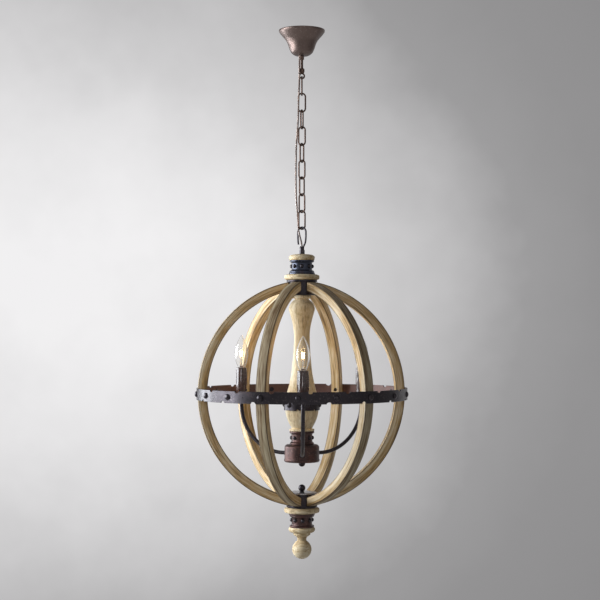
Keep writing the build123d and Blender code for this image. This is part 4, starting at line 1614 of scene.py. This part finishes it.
@dataclass
class Column(SubAssembly):
    """Turned column with its band, the base collar, the arm hub with its lid and ball nut."""

    band_radius: float = 42.6
    band_wall: float = 3.0
    band_height: float = 28.0
    band_azimuth: float = 15.8
    collar_azimuth: float = 2.0
    notch: float = 3.6
    band_ease: float = 0.5
    band_studs_count: int = 6
    stud_radius: float = 7.2
    stud_height: float = 5.4
    belly: float = 42.5
    belly_share: float = 0.805
    collar_waist: float = 26.2
    hub_radius: float = 44.0
    hub_bore: float = 5.1
    lid_radius: float = 41.4
    lid_thickness: float = 3.0
    ball_radius: float = 8.6

    def column(self) -> Piece:
        """Disc, throat, flared shoulder, slim waist, belly, ankle and bead.

        Returns:
            The piece.
        """
        top, foot = LEVELS.column_top - 0.1, LEVELS.column_foot
        head = rounded([
            (0, top, 0), (23.2, top, 1.2), (24.0, top - 2.0, 1.6), (24.0, top - 6.2, 1.8),
            (22.2, top - 8.1, 1.2), (17.8, top - 8.5, 0.8), (17.8, top - 10.6, 0.8),
            (19.4, top - 11.6, 0.0)])
        flare = flowing([
            (19.4, top - 11.6), (25.6, top - 17.0), (30.6, top - 24.5), (33.0, top - 33.0),
            (32.7, top - 37.5), (29.6, top - 48.0), (24.4, top - 68.0), (20.9, top - 88.0),
            (20.0, top - 105.0), (20.5, top - 128.0), (22.6, top - 158.0), (25.3, top - 188.0),
            (29.4, top - 213.0), (34.5, top - 235.0), (39.6, top - 252.0),
            (self.belly - 0.2, top - 264.0), (self.belly, top - 277.0),
            (self.belly - 0.3, top - 290.5), (40.2, top - 304.0), (35.6, top - 318.0),
            (29.6, top - 330.0), (25.4, top - 337.4)], 6)
        bead = rounded([
            (25.4, foot + 6.2, 0), (26.0, foot + 5.3, 0.5), (31.0, foot + 5.2, 1.4),
            (32.0, foot + 2.6, 1.6), (31.0, foot, 1.2), (0, foot, 0)])
        return spun("turned_column", head + flare[1:] + bead, self.finishes.column_oak, 112)

    def band_level(self) -> float:
        """Level of the belly band's middle, at its share of the column's height."""
        return LEVELS.column_top - self.belly_share * (LEVELS.column_top - LEVELS.column_foot)

    def belly_band(self) -> Piece:
        """Notched hoop round the belly.

        Returns:
            The piece.
        """
        outer, inner, ease = self.band_radius + self.band_wall, self.band_radius, self.band_ease
        step = 360 / self.band_studs_count
        span = math.degrees(self.notch / outer)
        local = {0.0, 10.0, 20.0, 40.0, 50.0}
        local |= {step / 2 + span * reach for reach in notch_reaches(1.05)}
        stations = [self.band_azimuth + step * k + away
                    for k in range(self.band_studs_count) for away in sorted(local)]
        sections = []
        for azimuth in stations:
            away = math.radians((azimuth - self.band_azimuth) % step - step / 2) * outer
            top = self.band_height / 2 - math.sqrt(max(self.notch ** 2 - away ** 2, 0.0))
            sections.append([
                (outer, top - ease), (outer, -top + ease), (outer - ease, -top),
                (inner, -top), (inner, top), (outer - ease, top)])
        return hoop("belly_band", stations, sections, self.band_level(), self.finishes.black_iron)

    def band_studs(self) -> Piece:
        """Six studs on the belly's band."""
        return stud_recipe(self.finishes.black_iron, "belly_band_studs").grow("belly_band_studs", {
            "Wall Radius": (self.band_radius + self.band_wall) * MM,
            "Level": self.band_level() * MM, "Count": self.band_studs_count,
            "Head Radius": self.stud_radius * MM, "Head Height": self.stud_height * MM,
            "First Azimuth": math.radians(self.band_azimuth - 90)})

    def base_collar(self) -> Piece:
        """Spool between the column's foot and the arm hub.

        Returns:
            The piece.
        """
        foot, top = LEVELS.hub_top, LEVELS.column_foot - 0.1
        return spun("column_base", rounded([
            (0, foot, 0), (30.0, foot, 0.6), (30.5, foot + 1.6, 0.8), (30.5, foot + 4.0, 1.0),
            (28.6, foot + 5.8, 1.0), (26.5, foot + 7.6, 1.4), (26.5, top - 8.0, 1.4),
            (27.4, top - 6.2, 0.8), (30.4, top - 5.6, 0.9), (31.5, top - 4.2, 0.9),
            (31.5, top - 2.2, 0.8), (30.6, top, 0.6), (0, top, 0)]), self.finishes.rust_iron)

    def base_studs(self) -> Piece:
        """Eight studs on the base collar."""
        level = 0.5 * (LEVELS.hub_top + LEVELS.column_foot)
        recipe = stud_recipe(self.finishes.black_iron, "column_base_studs")
        return recipe.grow("column_base_studs", {
            "Wall Radius": self.collar_waist * MM, "Level": level * MM,
            "First Azimuth": math.radians(self.collar_azimuth - 90)})

    def arm_hub(self) -> Piece:
        """Cup that the arms leave, open below, with a rolled lip.

        Returns:
            The piece.
        """
        top, foot, r = LEVELS.hub_top - 0.1, LEVELS.hub_foot, self.hub_radius
        return spun("arm_hub_cup", rounded([
            (self.hub_bore, top, 0), (r - 4.5, top, 2.2), (r, top - 4.5, 3.0), (r, foot + 7.6, 1.0),
            (r + 1.2, foot + 6.2, 0.8), (r + 1.2, foot + 3.2, 1.0), (r - 0.4, foot + 1.0, 0.8),
            (r - 1.4, foot, 0.4), (r - 2.5, foot + 0.4, 0.3), (r - 2.5, top - 6.0, 2.0),
            (r - 6.0, top - 2.5, 2.0), (self.hub_bore, top - 2.5, 0)]),
            self.finishes.rust_iron, 112, closed=True)

    def lid(self) -> Piece:
        """Disc that closes the hub from below."""
        low, rim = LEVELS.hub_foot + 0.5, self.lid_radius
        top = low + self.lid_thickness
        return spun("arm_hub_disc", rounded([
            (0, low, 0), (rim, low, 0.4), (rim, top, 0.4), (0, top, 0)]), self.finishes.rust_iron)

    def ball(self) -> Piece:
        """Ball nut under the hub, on a short neck."""
        seat = LEVELS.hub_foot + 0.4
        centre = seat - 0.5 * self.ball_radius
        line = [(0, seat), *ball_line(self.ball_radius, centre, 30, -90, 24)]
        return spun("hub_ball_nut", line, self.finishes.black_iron, 56)

    def build(self) -> None:
        """Builds and dresses the column and the hub."""
        on_fixture(self.column(), "oak", "column")
        on_fixture(self.belly_band(), "cast_iron", "column_band")
        on_fixture(self.band_studs(), "cast_iron", "column_band")
        on_fixture(self.base_collar(), "cast_iron", "base_collar")
        on_fixture(self.base_studs(), "cast_iron", "base_collar")
        on_fixture(self.arm_hub(), "cast_iron", "arm_hub")
        on_fixture(self.lid(), "cast_iron", "arm_hub_lid")
        on_fixture(self.ball(), "cast_iron", "hub_ball")


# ---------------------------------------------------------------- arms and candles


@dataclass
class Candles(SubAssembly):
    """Three bent arms, each with a pan, a sleeve with drips, a socket and a lamp."""

    azimuths: tuple[float, ...] = (0.8, 120.8, 240.8)
    circle: float = 180.0
    arm_radius: float = 4.85
    arm_start: float = 37.5
    arm_bend: float = 123.0
    sleeve_radius: float = 14.0
    sleeve_length: float = 71.0
    cup_radius: float = 17.5
    socket_radius: float = 10.4
    bulb_length: float = 85.0
    bulb_radius: float = 17.5
    bulb_neck: float = 8.2
    bulb_wall: float = 0.7
    base_radius: float = 5.7
    drip_count: int = 11
    drip_seed: int = 3
    drip_short: float = 7.0
    drip_long: float = 32.0
    filament_wire: float = 0.42
    filament_bends: int = 12
    light_lift: float = 34.0

    def places(self) -> list[Matrix]:
        """Foot of each candle."""
        return [outward(a, self.circle, LEVELS.sleeve_foot) for a in self.azimuths]

    def arms(self) -> Piece:
        """Bent tubes, three from one path.

        Returns:
            The piece.
        """
        recipe = Recipe("bent_arms")
        bend = recipe.size("Bend Radius", self.arm_bend * MM)
        radius = recipe.size("Arm Radius", self.arm_radius * MM)
        count = recipe.size("Count", len(self.azimuths))
        first = recipe.size("First Azimuth", math.radians(self.azimuths[0] - 90))
        bent = recipe.add("GeometryNodeFilletCurve", {
            "Curve": recipe.entry.outputs["Geometry"], "Count": 28, "Radius": bend}, mode="POLY")
        bar = recipe.bar(bent.outputs[0], radius, 28)
        recipe.close(recipe.spread(bar, count, ON_AXIS, 0.0, first), self.finishes.black_iron)
        level = LEVELS.arm_level
        path = [(self.arm_start, level), (self.circle, level),
                (self.circle, LEVELS.sleeve_foot + 6.0)]
        return recipe.grow("bent_arms", {}, [(x * MM, 0.0, z * MM) for x, z in path])

    def cups(self) -> Piece:
        """Pans under the sleeves, on their bosses.

        Returns:
            The piece.
        """
        r = self.cup_radius
        outline = rounded([
            (5.05, -9.1, 0), (6.6, -9.1, 0.8), (8.5, -6.5, 1.5), (8.6, -2.3, 0.8),
            (r - 1.2, -2.1, 0.8), (r, -1.2, 0.6), (r - 0.5, -0.1, 0.3), (5.05, -0.1, 0)])
        return spun_group("candle_pans", outline, self.finishes.black_iron, self.places(), 48,
                          closed=True)

    def sleeve(self, index: int) -> Piece:
        """Sleeve with a slightly melted rim.

        Args:
            index: Number of the candle, from 0.

        Returns:
            The piece.
        """
        r, top = self.sleeve_radius, self.sleeve_length
        outline = rounded([
            (r - 2.0, 0.0, 0), (r - 0.6, 0.0, 0.4), (r, 1.0, 0.6), (r - 0.3, 30.0, 3.0),
            (r - 0.3, top - 4.0, 1.5), (r, top - 2.0, 1.0), (r - 0.5, top, 0.7),
            (r - 2.0, top, 0.5)])
        return spun(f"wax_sleeve_{index + 1}", outline, self.finishes.sleeve, 48,
                    self.places()[index], closed=True)

    def drips(self, index: int) -> Piece:
        """Raised drips down one sleeve, each of its own length.

        Args:
            index: Number of the candle, from 0.

        Returns:
            The piece.
        """
        recipe = Recipe("wax_drips")
        count = recipe.size("Count", self.drip_count)
        seed = recipe.size("Seed", self.drip_seed + index)
        radius = recipe.size("Sleeve Radius", (self.sleeve_radius - 0.7) * MM)
        top = recipe.size("Rim Level", (self.sleeve_length - 3.0) * MM)
        ring = recipe.add("GeometryNodeMeshCircle", {"Vertices": count, "Radius": radius})
        length = recipe.add("FunctionNodeRandomValue", {
            "Min": self.drip_short * MM, "Max": self.drip_long * MM, "Seed": seed},
            data_type="FLOAT")
        size = [s for s in length.outputs if s.enabled][0]
        lower = recipe.math("SUBTRACT", top, size)
        moved = recipe.add("GeometryNodeSetPosition", {
            "Geometry": ring.outputs[0], "Offset": recipe.vector(0.0, 0.0, lower)})
        bead = recipe.add("GeometryNodeMeshUVSphere", {
            "Segments": 14, "Rings": 10, "Radius": 1.0})
        drops = recipe.add("GeometryNodeInstanceOnPoints", {
            "Points": moved.outputs[0], "Instance": bead.outputs[0],
            "Rotation": recipe.facing_out(),
            "Scale": recipe.vector(1.7 * MM, 2.2 * MM, size)})
        recipe.close(drops.outputs[0], self.finishes.sleeve)
        piece = recipe.grow(f"wax_drips_{index + 1}", {})
        piece.data.transform(self.places()[index] @ Matrix.Rotation(0.5 * index, 4, "Z"))
        return piece

    def sockets(self) -> Piece:
        """Lamp sockets inside the sleeves, open above.

        Returns:
            The piece.
        """
        r, top = self.socket_radius, self.sleeve_length - 3.0
        outline = rounded([
            (5.1, 0.2, 0), (r - 0.4, 0.2, 0.6), (r, 1.2, 0.6), (r, top - 1.0, 0.6),
            (r - 0.8, top, 0.5), (6.3, top, 0.5), (6.3, top - 20.0, 0.5), (5.1, top - 20.0, 0)])
        return spun_group("socket_shells", outline, self.finishes.socket, self.places(), 40,
                          closed=True)

    def flame(self, inset: float) -> list[Point]:
        """Outline of the lamp's envelope, drawn in by its wall, from its neck to its tip.

        Args:
            inset: How far it is drawn in.

        Returns:
            (radius, level) points.
        """
        r = self.bulb_radius
        line = flowing([
            (self.bulb_neck, 0.0), (9.4, 4.0), (13.0, 12.0), (16.2, 24.0), (r, 36.0),
            (r - 0.1, 42.0), (16.0, 52.0), (12.6, 62.5), (8.4, 72.0), (4.6, 79.2),
            (2.0, 83.6), (0.6, 84.8)], 5)
        line = [(max(radius - inset, 0.0), min(level, self.bulb_length - 2 * inset))
                for radius, level in line]
        return line + [(0.0, self.bulb_length - 2 * inset)]

    def bulb(self, index: int) -> Piece:
        """Thin glass envelope, closed round its neck.

        Args:
            index: Number of the candle, from 0.

        Returns:
            The piece.
        """
        lift = self.sleeve_length - 1.0
        outline = self.flame(0.0) + self.flame(self.bulb_wall)[::-1]
        outline = [(r, z + lift) for r, z in outline]
        return spun(f"lamp_envelope_{index + 1}", outline, self.finishes.glass, 56,
                    self.places()[index], closed=True)

    def base(self, index: int) -> Piece:
        """Screw base with its thread and contact.

        Args:
            index: Number of the candle, from 0.

        Returns:
            The piece.
        """
        top, r = self.sleeve_length - 1.0, self.base_radius
        line: list[Point] = [(0, top), (7.4, top), (7.6, top - 0.8), (r, top - 2.0)]
        for k in range(6):
            line += [(r, top - 3.0 - 2 * k), (r - 0.5, top - 4.0 - 2 * k)]
        line += [(r - 1.2, top - 15.4), (2.2, top - 18.5), (2.2, top - 20.6), (0, top - 21.0)]
        return spun(f"lamp_screw_base_{index + 1}", line, self.finishes.brass, 40,
                    self.places()[index])

    def filament(self, index: int) -> Piece:
        """Glowing wire that zigzags round a small cage.

        Args:
            index: Number of the candle, from 0.

        Returns:
            The piece.
        """
        recipe = Recipe("lamp_filament")
        radius = recipe.size("Wire Radius", self.filament_wire * MM)
        wire = recipe.bar(recipe.entry.outputs["Geometry"], radius, 8)
        recipe.close(wire, self.finishes.filament)
        lift = self.sleeve_length + 24.0
        path = []
        for k in range(self.filament_bends + 1):
            turn = 2 * math.pi * k / self.filament_bends
            reach, level = (2.4, lift + 5.0) if k % 2 else (4.2, lift + 20.0)
            path.append((reach * math.cos(turn) * MM, reach * math.sin(turn) * MM, level * MM))
        piece = recipe.grow(f"lamp_filament_{index + 1}", {}, path)
        piece.data.transform(self.places()[index])
        return piece

    def stem(self, index: int) -> Piece:
        """Glass stem that carries the filament.

        Args:
            index: Number of the candle, from 0.

        Returns:
            The piece.
        """
        lift = self.sleeve_length - 0.6
        outline = rounded([
            (0, lift, 0), (5.6, lift, 0.8), (3.6, lift + 6.0, 2.0), (1.6, lift + 13.0, 2.0),
            (1.2, lift + 30.0, 0.6), (0, lift + 30.6, 0)])
        return spun(f"lamp_stem_{index + 1}", outline, self.finishes.glass, 24,
                    self.places()[index])

    def build(self) -> None:
        """Builds and dresses the arms and the candles."""
        on_fixture(self.arms(), "cast_iron", "arm_1", "arm_2", "arm_3")
        on_fixture(self.cups(), "cast_iron", "candle_cups")
        on_fixture(self.sockets(), "socket", "lamp_sockets")
        for k in range(len(self.azimuths)):
            node = f"candle_sleeve_{k + 1}"
            on_fixture(self.sleeve(k), "sleeve", node)
            on_fixture(self.drips(k), "sleeve", node)
            body = f"bulb_{k + 1}_body"
            glass = settle(self.bulb(k), body, "glass", f"bulb_{k + 1}")
            glass.visible_shadow = False
            settle(self.base(k), body, "brass", f"bulb_base_{k + 1}")
            settle(self.filament(k), body, "brass", f"bulb_base_{k + 1}")
            stem = settle(self.stem(k), body, "glass", f"bulb_{k + 1}")
            stem.visible_shadow = False


# ---------------------------------------------------------------- foot of the orb


@dataclass
class Foot(SubAssembly):
    """Lower hub with its plate and knob, ring, studded collar and the ball finial."""

    knob_radius: float = 9.0
    finial_disc: float = 33.5
    finial_ball: float = 24.4
    disc_height: float = 13.2
    step_height: float = 10.6
    neck_height: float = 8.0
    neck_reach: float = 19.9
    top: float = -1262.8

    def knob(self) -> Piece:
        """Ball head on a short neck over the inner plate.

        Returns:
            The piece.
        """
        seat = LEVELS.mirrored(LEVELS.column_top) + 0.1
        centre = seat + 2.0 + 0.85 * self.knob_radius
        line = [(0, seat), (6.2, seat), (6.2, seat + 0.8), (5.2, seat + 2.0)]
        line += ball_line(self.knob_radius, centre, -50, 90, 24)
        return spun("ball_knob", line, self.finishes.black_iron, 56)

    def finial(self) -> Piece:
        """Disc, step, neck and ball.

        Returns:
            The piece.
        """
        top, r = self.top, self.finial_disc
        head = rounded([
            (0, top, 0), (r - 3.0, top, 1.4), (r - 0.4, top - 3.0, 2.4), (r, top - 6.6, 3.2),
            (r - 1.4, top - 10.4, 2.8), (r - 5.0, top - 13.0, 1.6), (22.6, top - 13.4, 0.8),
            (21.6, top - 14.8, 0.8), (21.6, top - 18.6, 1.2), (18.6, top - 21.4, 2.0),
            (14.2, top - 23.6, 0)])
        centre = (top - self.disc_height - self.step_height - self.neck_height
                  - self.finial_ball)
        neck = flowing([
            (14.2, top - 23.6), (12.2, top - 27.2), (11.4, top - 31.0), (12.0, top - 34.4),
            (14.1, centre + self.neck_reach)], 5)
        latitude = math.degrees(math.asin(self.neck_reach / self.finial_ball))
        line = head + neck[1:] + ball_line(self.finial_ball, centre, latitude - 2, -90, 28)
        return spun("ball_finial", line, self.finishes.ring_oak)

    def build(self, stack: TopStack) -> None:
        """Builds and dresses the foot.

        Args:
            stack: The stack whose pieces stand at this end too.
        """
        end, iron, oak = OrbEnd.LOWER, self.finishes.black_iron, self.finishes.ring_oak
        on_fixture(stack.hub(end, iron, "lower_drum"), "cast_iron", "bottom_hub")
        plate = stack.hub_plate(end, self.finishes.plate_steel, "lower_inner_plate")
        on_fixture(plate, "cast_iron", "bottom_hub_plate")
        on_fixture(self.knob(), "cast_iron", "bottom_knob")
        ring = stack.ring(end.level(LEVELS.plate_top), oak, "lower_ring")
        on_fixture(ring, "oak", "bottom_ring")
        collar = stack.collar(end, self.finishes.rust_iron, "lower_collar")
        on_fixture(collar, "cast_iron", "bottom_collar")
        on_fixture(stack.studs(end, iron, "lower_collar_studs"), "cast_iron", "bottom_collar")
        on_fixture(self.finial(), "oak", "finial")


# ---------------------------------------------------------------- studio


@dataclass(frozen=True)
class SoftLamp:
    """Square lamp: its place in metres, its side in metres and its power in watts."""

    name: str
    place: Place
    side: float
    power: float
    colour: Tint = WHITE


@dataclass
class Studio:
    """Plain floor and surroundings, soft light and the camera, in metres."""

    distance: float = 3.7
    camera_level: float = -0.759
    camera_side: float = -0.0048
    tilt: float = 1.1
    lens: float = 87.4
    sensor: float = 36.0
    floor_level: float = -3.4
    floor_side: float = 6.0
    floor_back: float = 3.0
    floor_glow: float = 0.72
    floor_greys: tuple[Stop, ...] = ((0.3, 204), (0.7, 214))
    world_strength: float = 0.16
    world_colour: Colour = (0.9, 0.92, 0.95, 1.0)
    bright_way: Point = (-0.173, 0.03)
    bright_reach: Point = (0.48, 0.385)
    mottle: float = 0.2
    grey_reach: float = 6.0
    greys: tuple[Stop, ...] = (
        (0.0, 241), (0.02, 223), (0.032, 208), (0.078, 157), (0.105, 147), (0.15, 141),
        (0.3, 188), (0.5, 212), (0.75, 178), (1.0, 152))
    aim: Place = (0.0, 0.0, -0.85)
    lamps: tuple[SoftLamp, ...] = (
        SoftLamp("window_light", (-2.25, -0.2, -0.45), 1.5, 90.0, DAYLIGHT),
        SoftLamp("window_edge", (-1.75, 1.0, -0.75), 0.9, 25.0, DAYLIGHT),
        SoftLamp("front_fill", (0.7, -3.5, 0.1), 2.0, 8.0))
    candle_power: float = 0.19
    candle_size: float = 0.004
    candle_colour: Tint = (1.0, 0.72, 0.42)

    def floor_finish(self) -> Finish:
        """Pale plaster: what falls on it, and a plain paleness that lens and gloss see.

        Returns:
            The material.
        """
        brush = Brush("studio_floor")
        cloud = brush.noise(brush.spot(), 2.0, rough=0.6)
        colour = brush.ramp(cloud, *[(spot, tone(grey, grey - 1, grey - 2))
                                     for spot, grey in self.floor_greys])
        plain = brush.add("ShaderNodeBsdfDiffuse", {"Color": colour})
        pale = brush.add("ShaderNodeEmission", {
            "Color": colour, "Strength": brush.math("MULTIPLY", brush.seen(), self.floor_glow)})
        both = brush.add("ShaderNodeAddShader", {0: plain.outputs[0], 1: pale.outputs[0]})
        brush.end_with(both.outputs[0])
        return brush.material

    def floor(self) -> None:
        """Plain pale floor, well below the orb."""
        side, back, level = self.floor_side, self.floor_back, self.floor_level
        corners = [(-side, -side, level), (side, -side, level), (side, back, level),
                   (-side, back, level)]
        mesh = new_mesh("studio_floor", corners, [[0, 1, 2, 3]])
        mesh.materials.append(self.floor_finish())
        placed(mesh.name, mesh)

    def shine(self, lamp: SoftLamp) -> None:
        """Sets a soft lamp up, pointing at the chandelier.

        Args:
            lamp: The lamp.
        """
        data = bpy.data.lights.new(lamp.name, "AREA")
        data.shape = "SQUARE"
        data.size = lamp.side
        data.energy = lamp.power
        data.color = lamp.colour
        light = placed(lamp.name, data)
        light.location = lamp.place
        way = Vector(self.aim) - Vector(lamp.place)
        light.rotation_euler = way.to_track_quat("-Z", "Y").to_euler()
        light.visible_transmission = False

    def candle_lights(self, candles: Candles) -> None:
        """Sets a faint warm light up in each lamp, seen only by what it lights.

        Args:
            candles: The candles that it stands in.
        """
        for k, azimuth in enumerate(candles.azimuths):
            data = bpy.data.lights.new(f"candle_light_{k + 1}", "POINT")
            data.energy = self.candle_power
            data.color = self.candle_colour
            data.shadow_soft_size = self.candle_size
            light = placed(data.name, data)
            level = LEVELS.sleeve_top + candles.light_lift
            light.location = outward(azimuth, candles.circle, level).translation
            light.visible_transmission = False
            light.visible_glossy = False
            light.visible_camera = False

    def camera(self) -> None:
        """Camera at the height of the orb's upper half, tilted up a little."""
        data = bpy.data.cameras.new("camera")
        data.sensor_width = self.sensor
        data.lens = self.lens
        camera = placed("camera", data)
        camera.location = (self.camera_side, -self.distance, self.camera_level)
        camera.rotation_euler = (math.radians(90 + self.tilt), 0, 0)
        bpy.context.scene.camera = camera

    def surroundings(self, work: NodeWork) -> Socket:
        """Grey plaster all round, bright behind the orb's left and darker to its right.

        Args:
            work: The world's node tree.

        Returns:
            The colour of the surroundings in each direction.
        """
        way = work.add("ShaderNodeTexCoord").outputs["Generated"]
        x, _, z = work.parts(way)
        away_x = work.math("DIVIDE", work.math("ADD", x, -self.bright_way[0]),
                           self.bright_reach[0])
        away_z = work.math("DIVIDE", work.math("ADD", z, -self.bright_way[1]),
                           self.bright_reach[1])
        square = work.math("ADD", work.math("MULTIPLY", away_x, away_x),
                           work.math("MULTIPLY", away_z, away_z))
        cloud = work.noise(way, 9.0, detail=4.0, rough=0.6)
        light = work.math("ADD", square, work.math("MULTIPLY", work.math(
            "SUBTRACT", cloud, 0.5), self.mottle))
        return work.ramp(work.math("DIVIDE", light, self.grey_reach),
                         *[(spot, tone(grey, grey - 1, grey)) for spot, grey in self.greys])

    def world(self) -> None:
        """Dim light from all round, and bright surroundings that lens, gloss and glass see."""
        world = bpy.data.worlds.new("studio")
        world.use_nodes = True
        work = NodeWork(world.node_tree)
        world.node_tree.nodes.clear()
        dim = work.add("ShaderNodeBackground", {
            "Color": self.world_colour, "Strength": self.world_strength})
        bright = work.add("ShaderNodeBackground", {
            "Color": self.surroundings(work), "Strength": 1.0})
        mix = work.add("ShaderNodeMixShader", {
            0: work.seen(), 1: dim.outputs[0], 2: bright.outputs[0]})
        output = work.add("ShaderNodeOutputWorld")
        work.tree.links.new(mix.outputs[0], output.inputs[0])
        bpy.context.scene.world = world

    def build(self, candles: Candles) -> None:
        """Builds the studio.

        Args:
            candles: The candles, for their light.
        """
        self.camera()
        self.world()
        self.floor()
        for lamp in self.lamps:
            self.shine(lamp)
        self.candle_lights(candles)
        bpy.context.scene.view_settings.view_transform = "Standard"


def dress_plain_nodes(nodes: dict[str, Piece], finishes: Finishes) -> None:
    """Gives every plain node its finish, also those inside the pieces.

    Args:
        nodes: The frame's nodes, by name.
        finishes: The finishes.
    """
    by_name = {
        "canopy": finishes.bronze, "crossbar": finishes.chain_steel,
        "ceiling_nipple": finishes.chain_steel, "ceiling_nuts": finishes.chain_steel,
        "hanging_eye": finishes.chain_steel, "supply_cord": finishes.cord,
        "chain_link": finishes.chain_steel, "top_cap": finishes.ring_oak,
        "top_ring": finishes.ring_oak, "bottom_ring": finishes.ring_oak,
        "finial": finishes.ring_oak, "column": finishes.column_oak,
        "candle_sleeve": finishes.sleeve, "lamp_sockets": finishes.socket,
        "bulb_base": finishes.brass, "base_collar": finishes.rust_iron,
        "arm_hub": finishes.rust_iron, "bottom_collar": finishes.rust_iron,
        "top_collar": finishes.blue_iron, "center_pipe": finishes.chain_steel,
        "rib": finishes.column_oak, "bulb": finishes.glass}
    for name, node in nodes.items():
        stem = name.rstrip("0123456789").rstrip("_")
        finish = by_name.get(name) or by_name.get(stem) or finishes.black_iron
        if not node.material_slots:
            node.data.materials.append(finish)
        for slot in node.material_slots:
            slot.material = finish


def main() -> None:
    """Builds the chandelier's pieces in order, and the studio round them."""
    logging.basicConfig(level=logging.INFO, format="%(name)s: %(message)s")
    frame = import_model()
    finishes = Finishes()
    dress_plain_nodes(frame["nodes"], finishes)
    chain, candles, stack = Chain(finishes), Candles(finishes), TopStack(finishes)
    Studio().build(candles)
    SupplyCord(finishes).build(chain)
    CeilingGroup(finishes).build()
    chain.build()
    stack.build()
    Orb(finishes).build()
    Column(finishes).build()
    candles.build()
    Foot(finishes).build(stack)


if __name__ == "__main__":
    main()
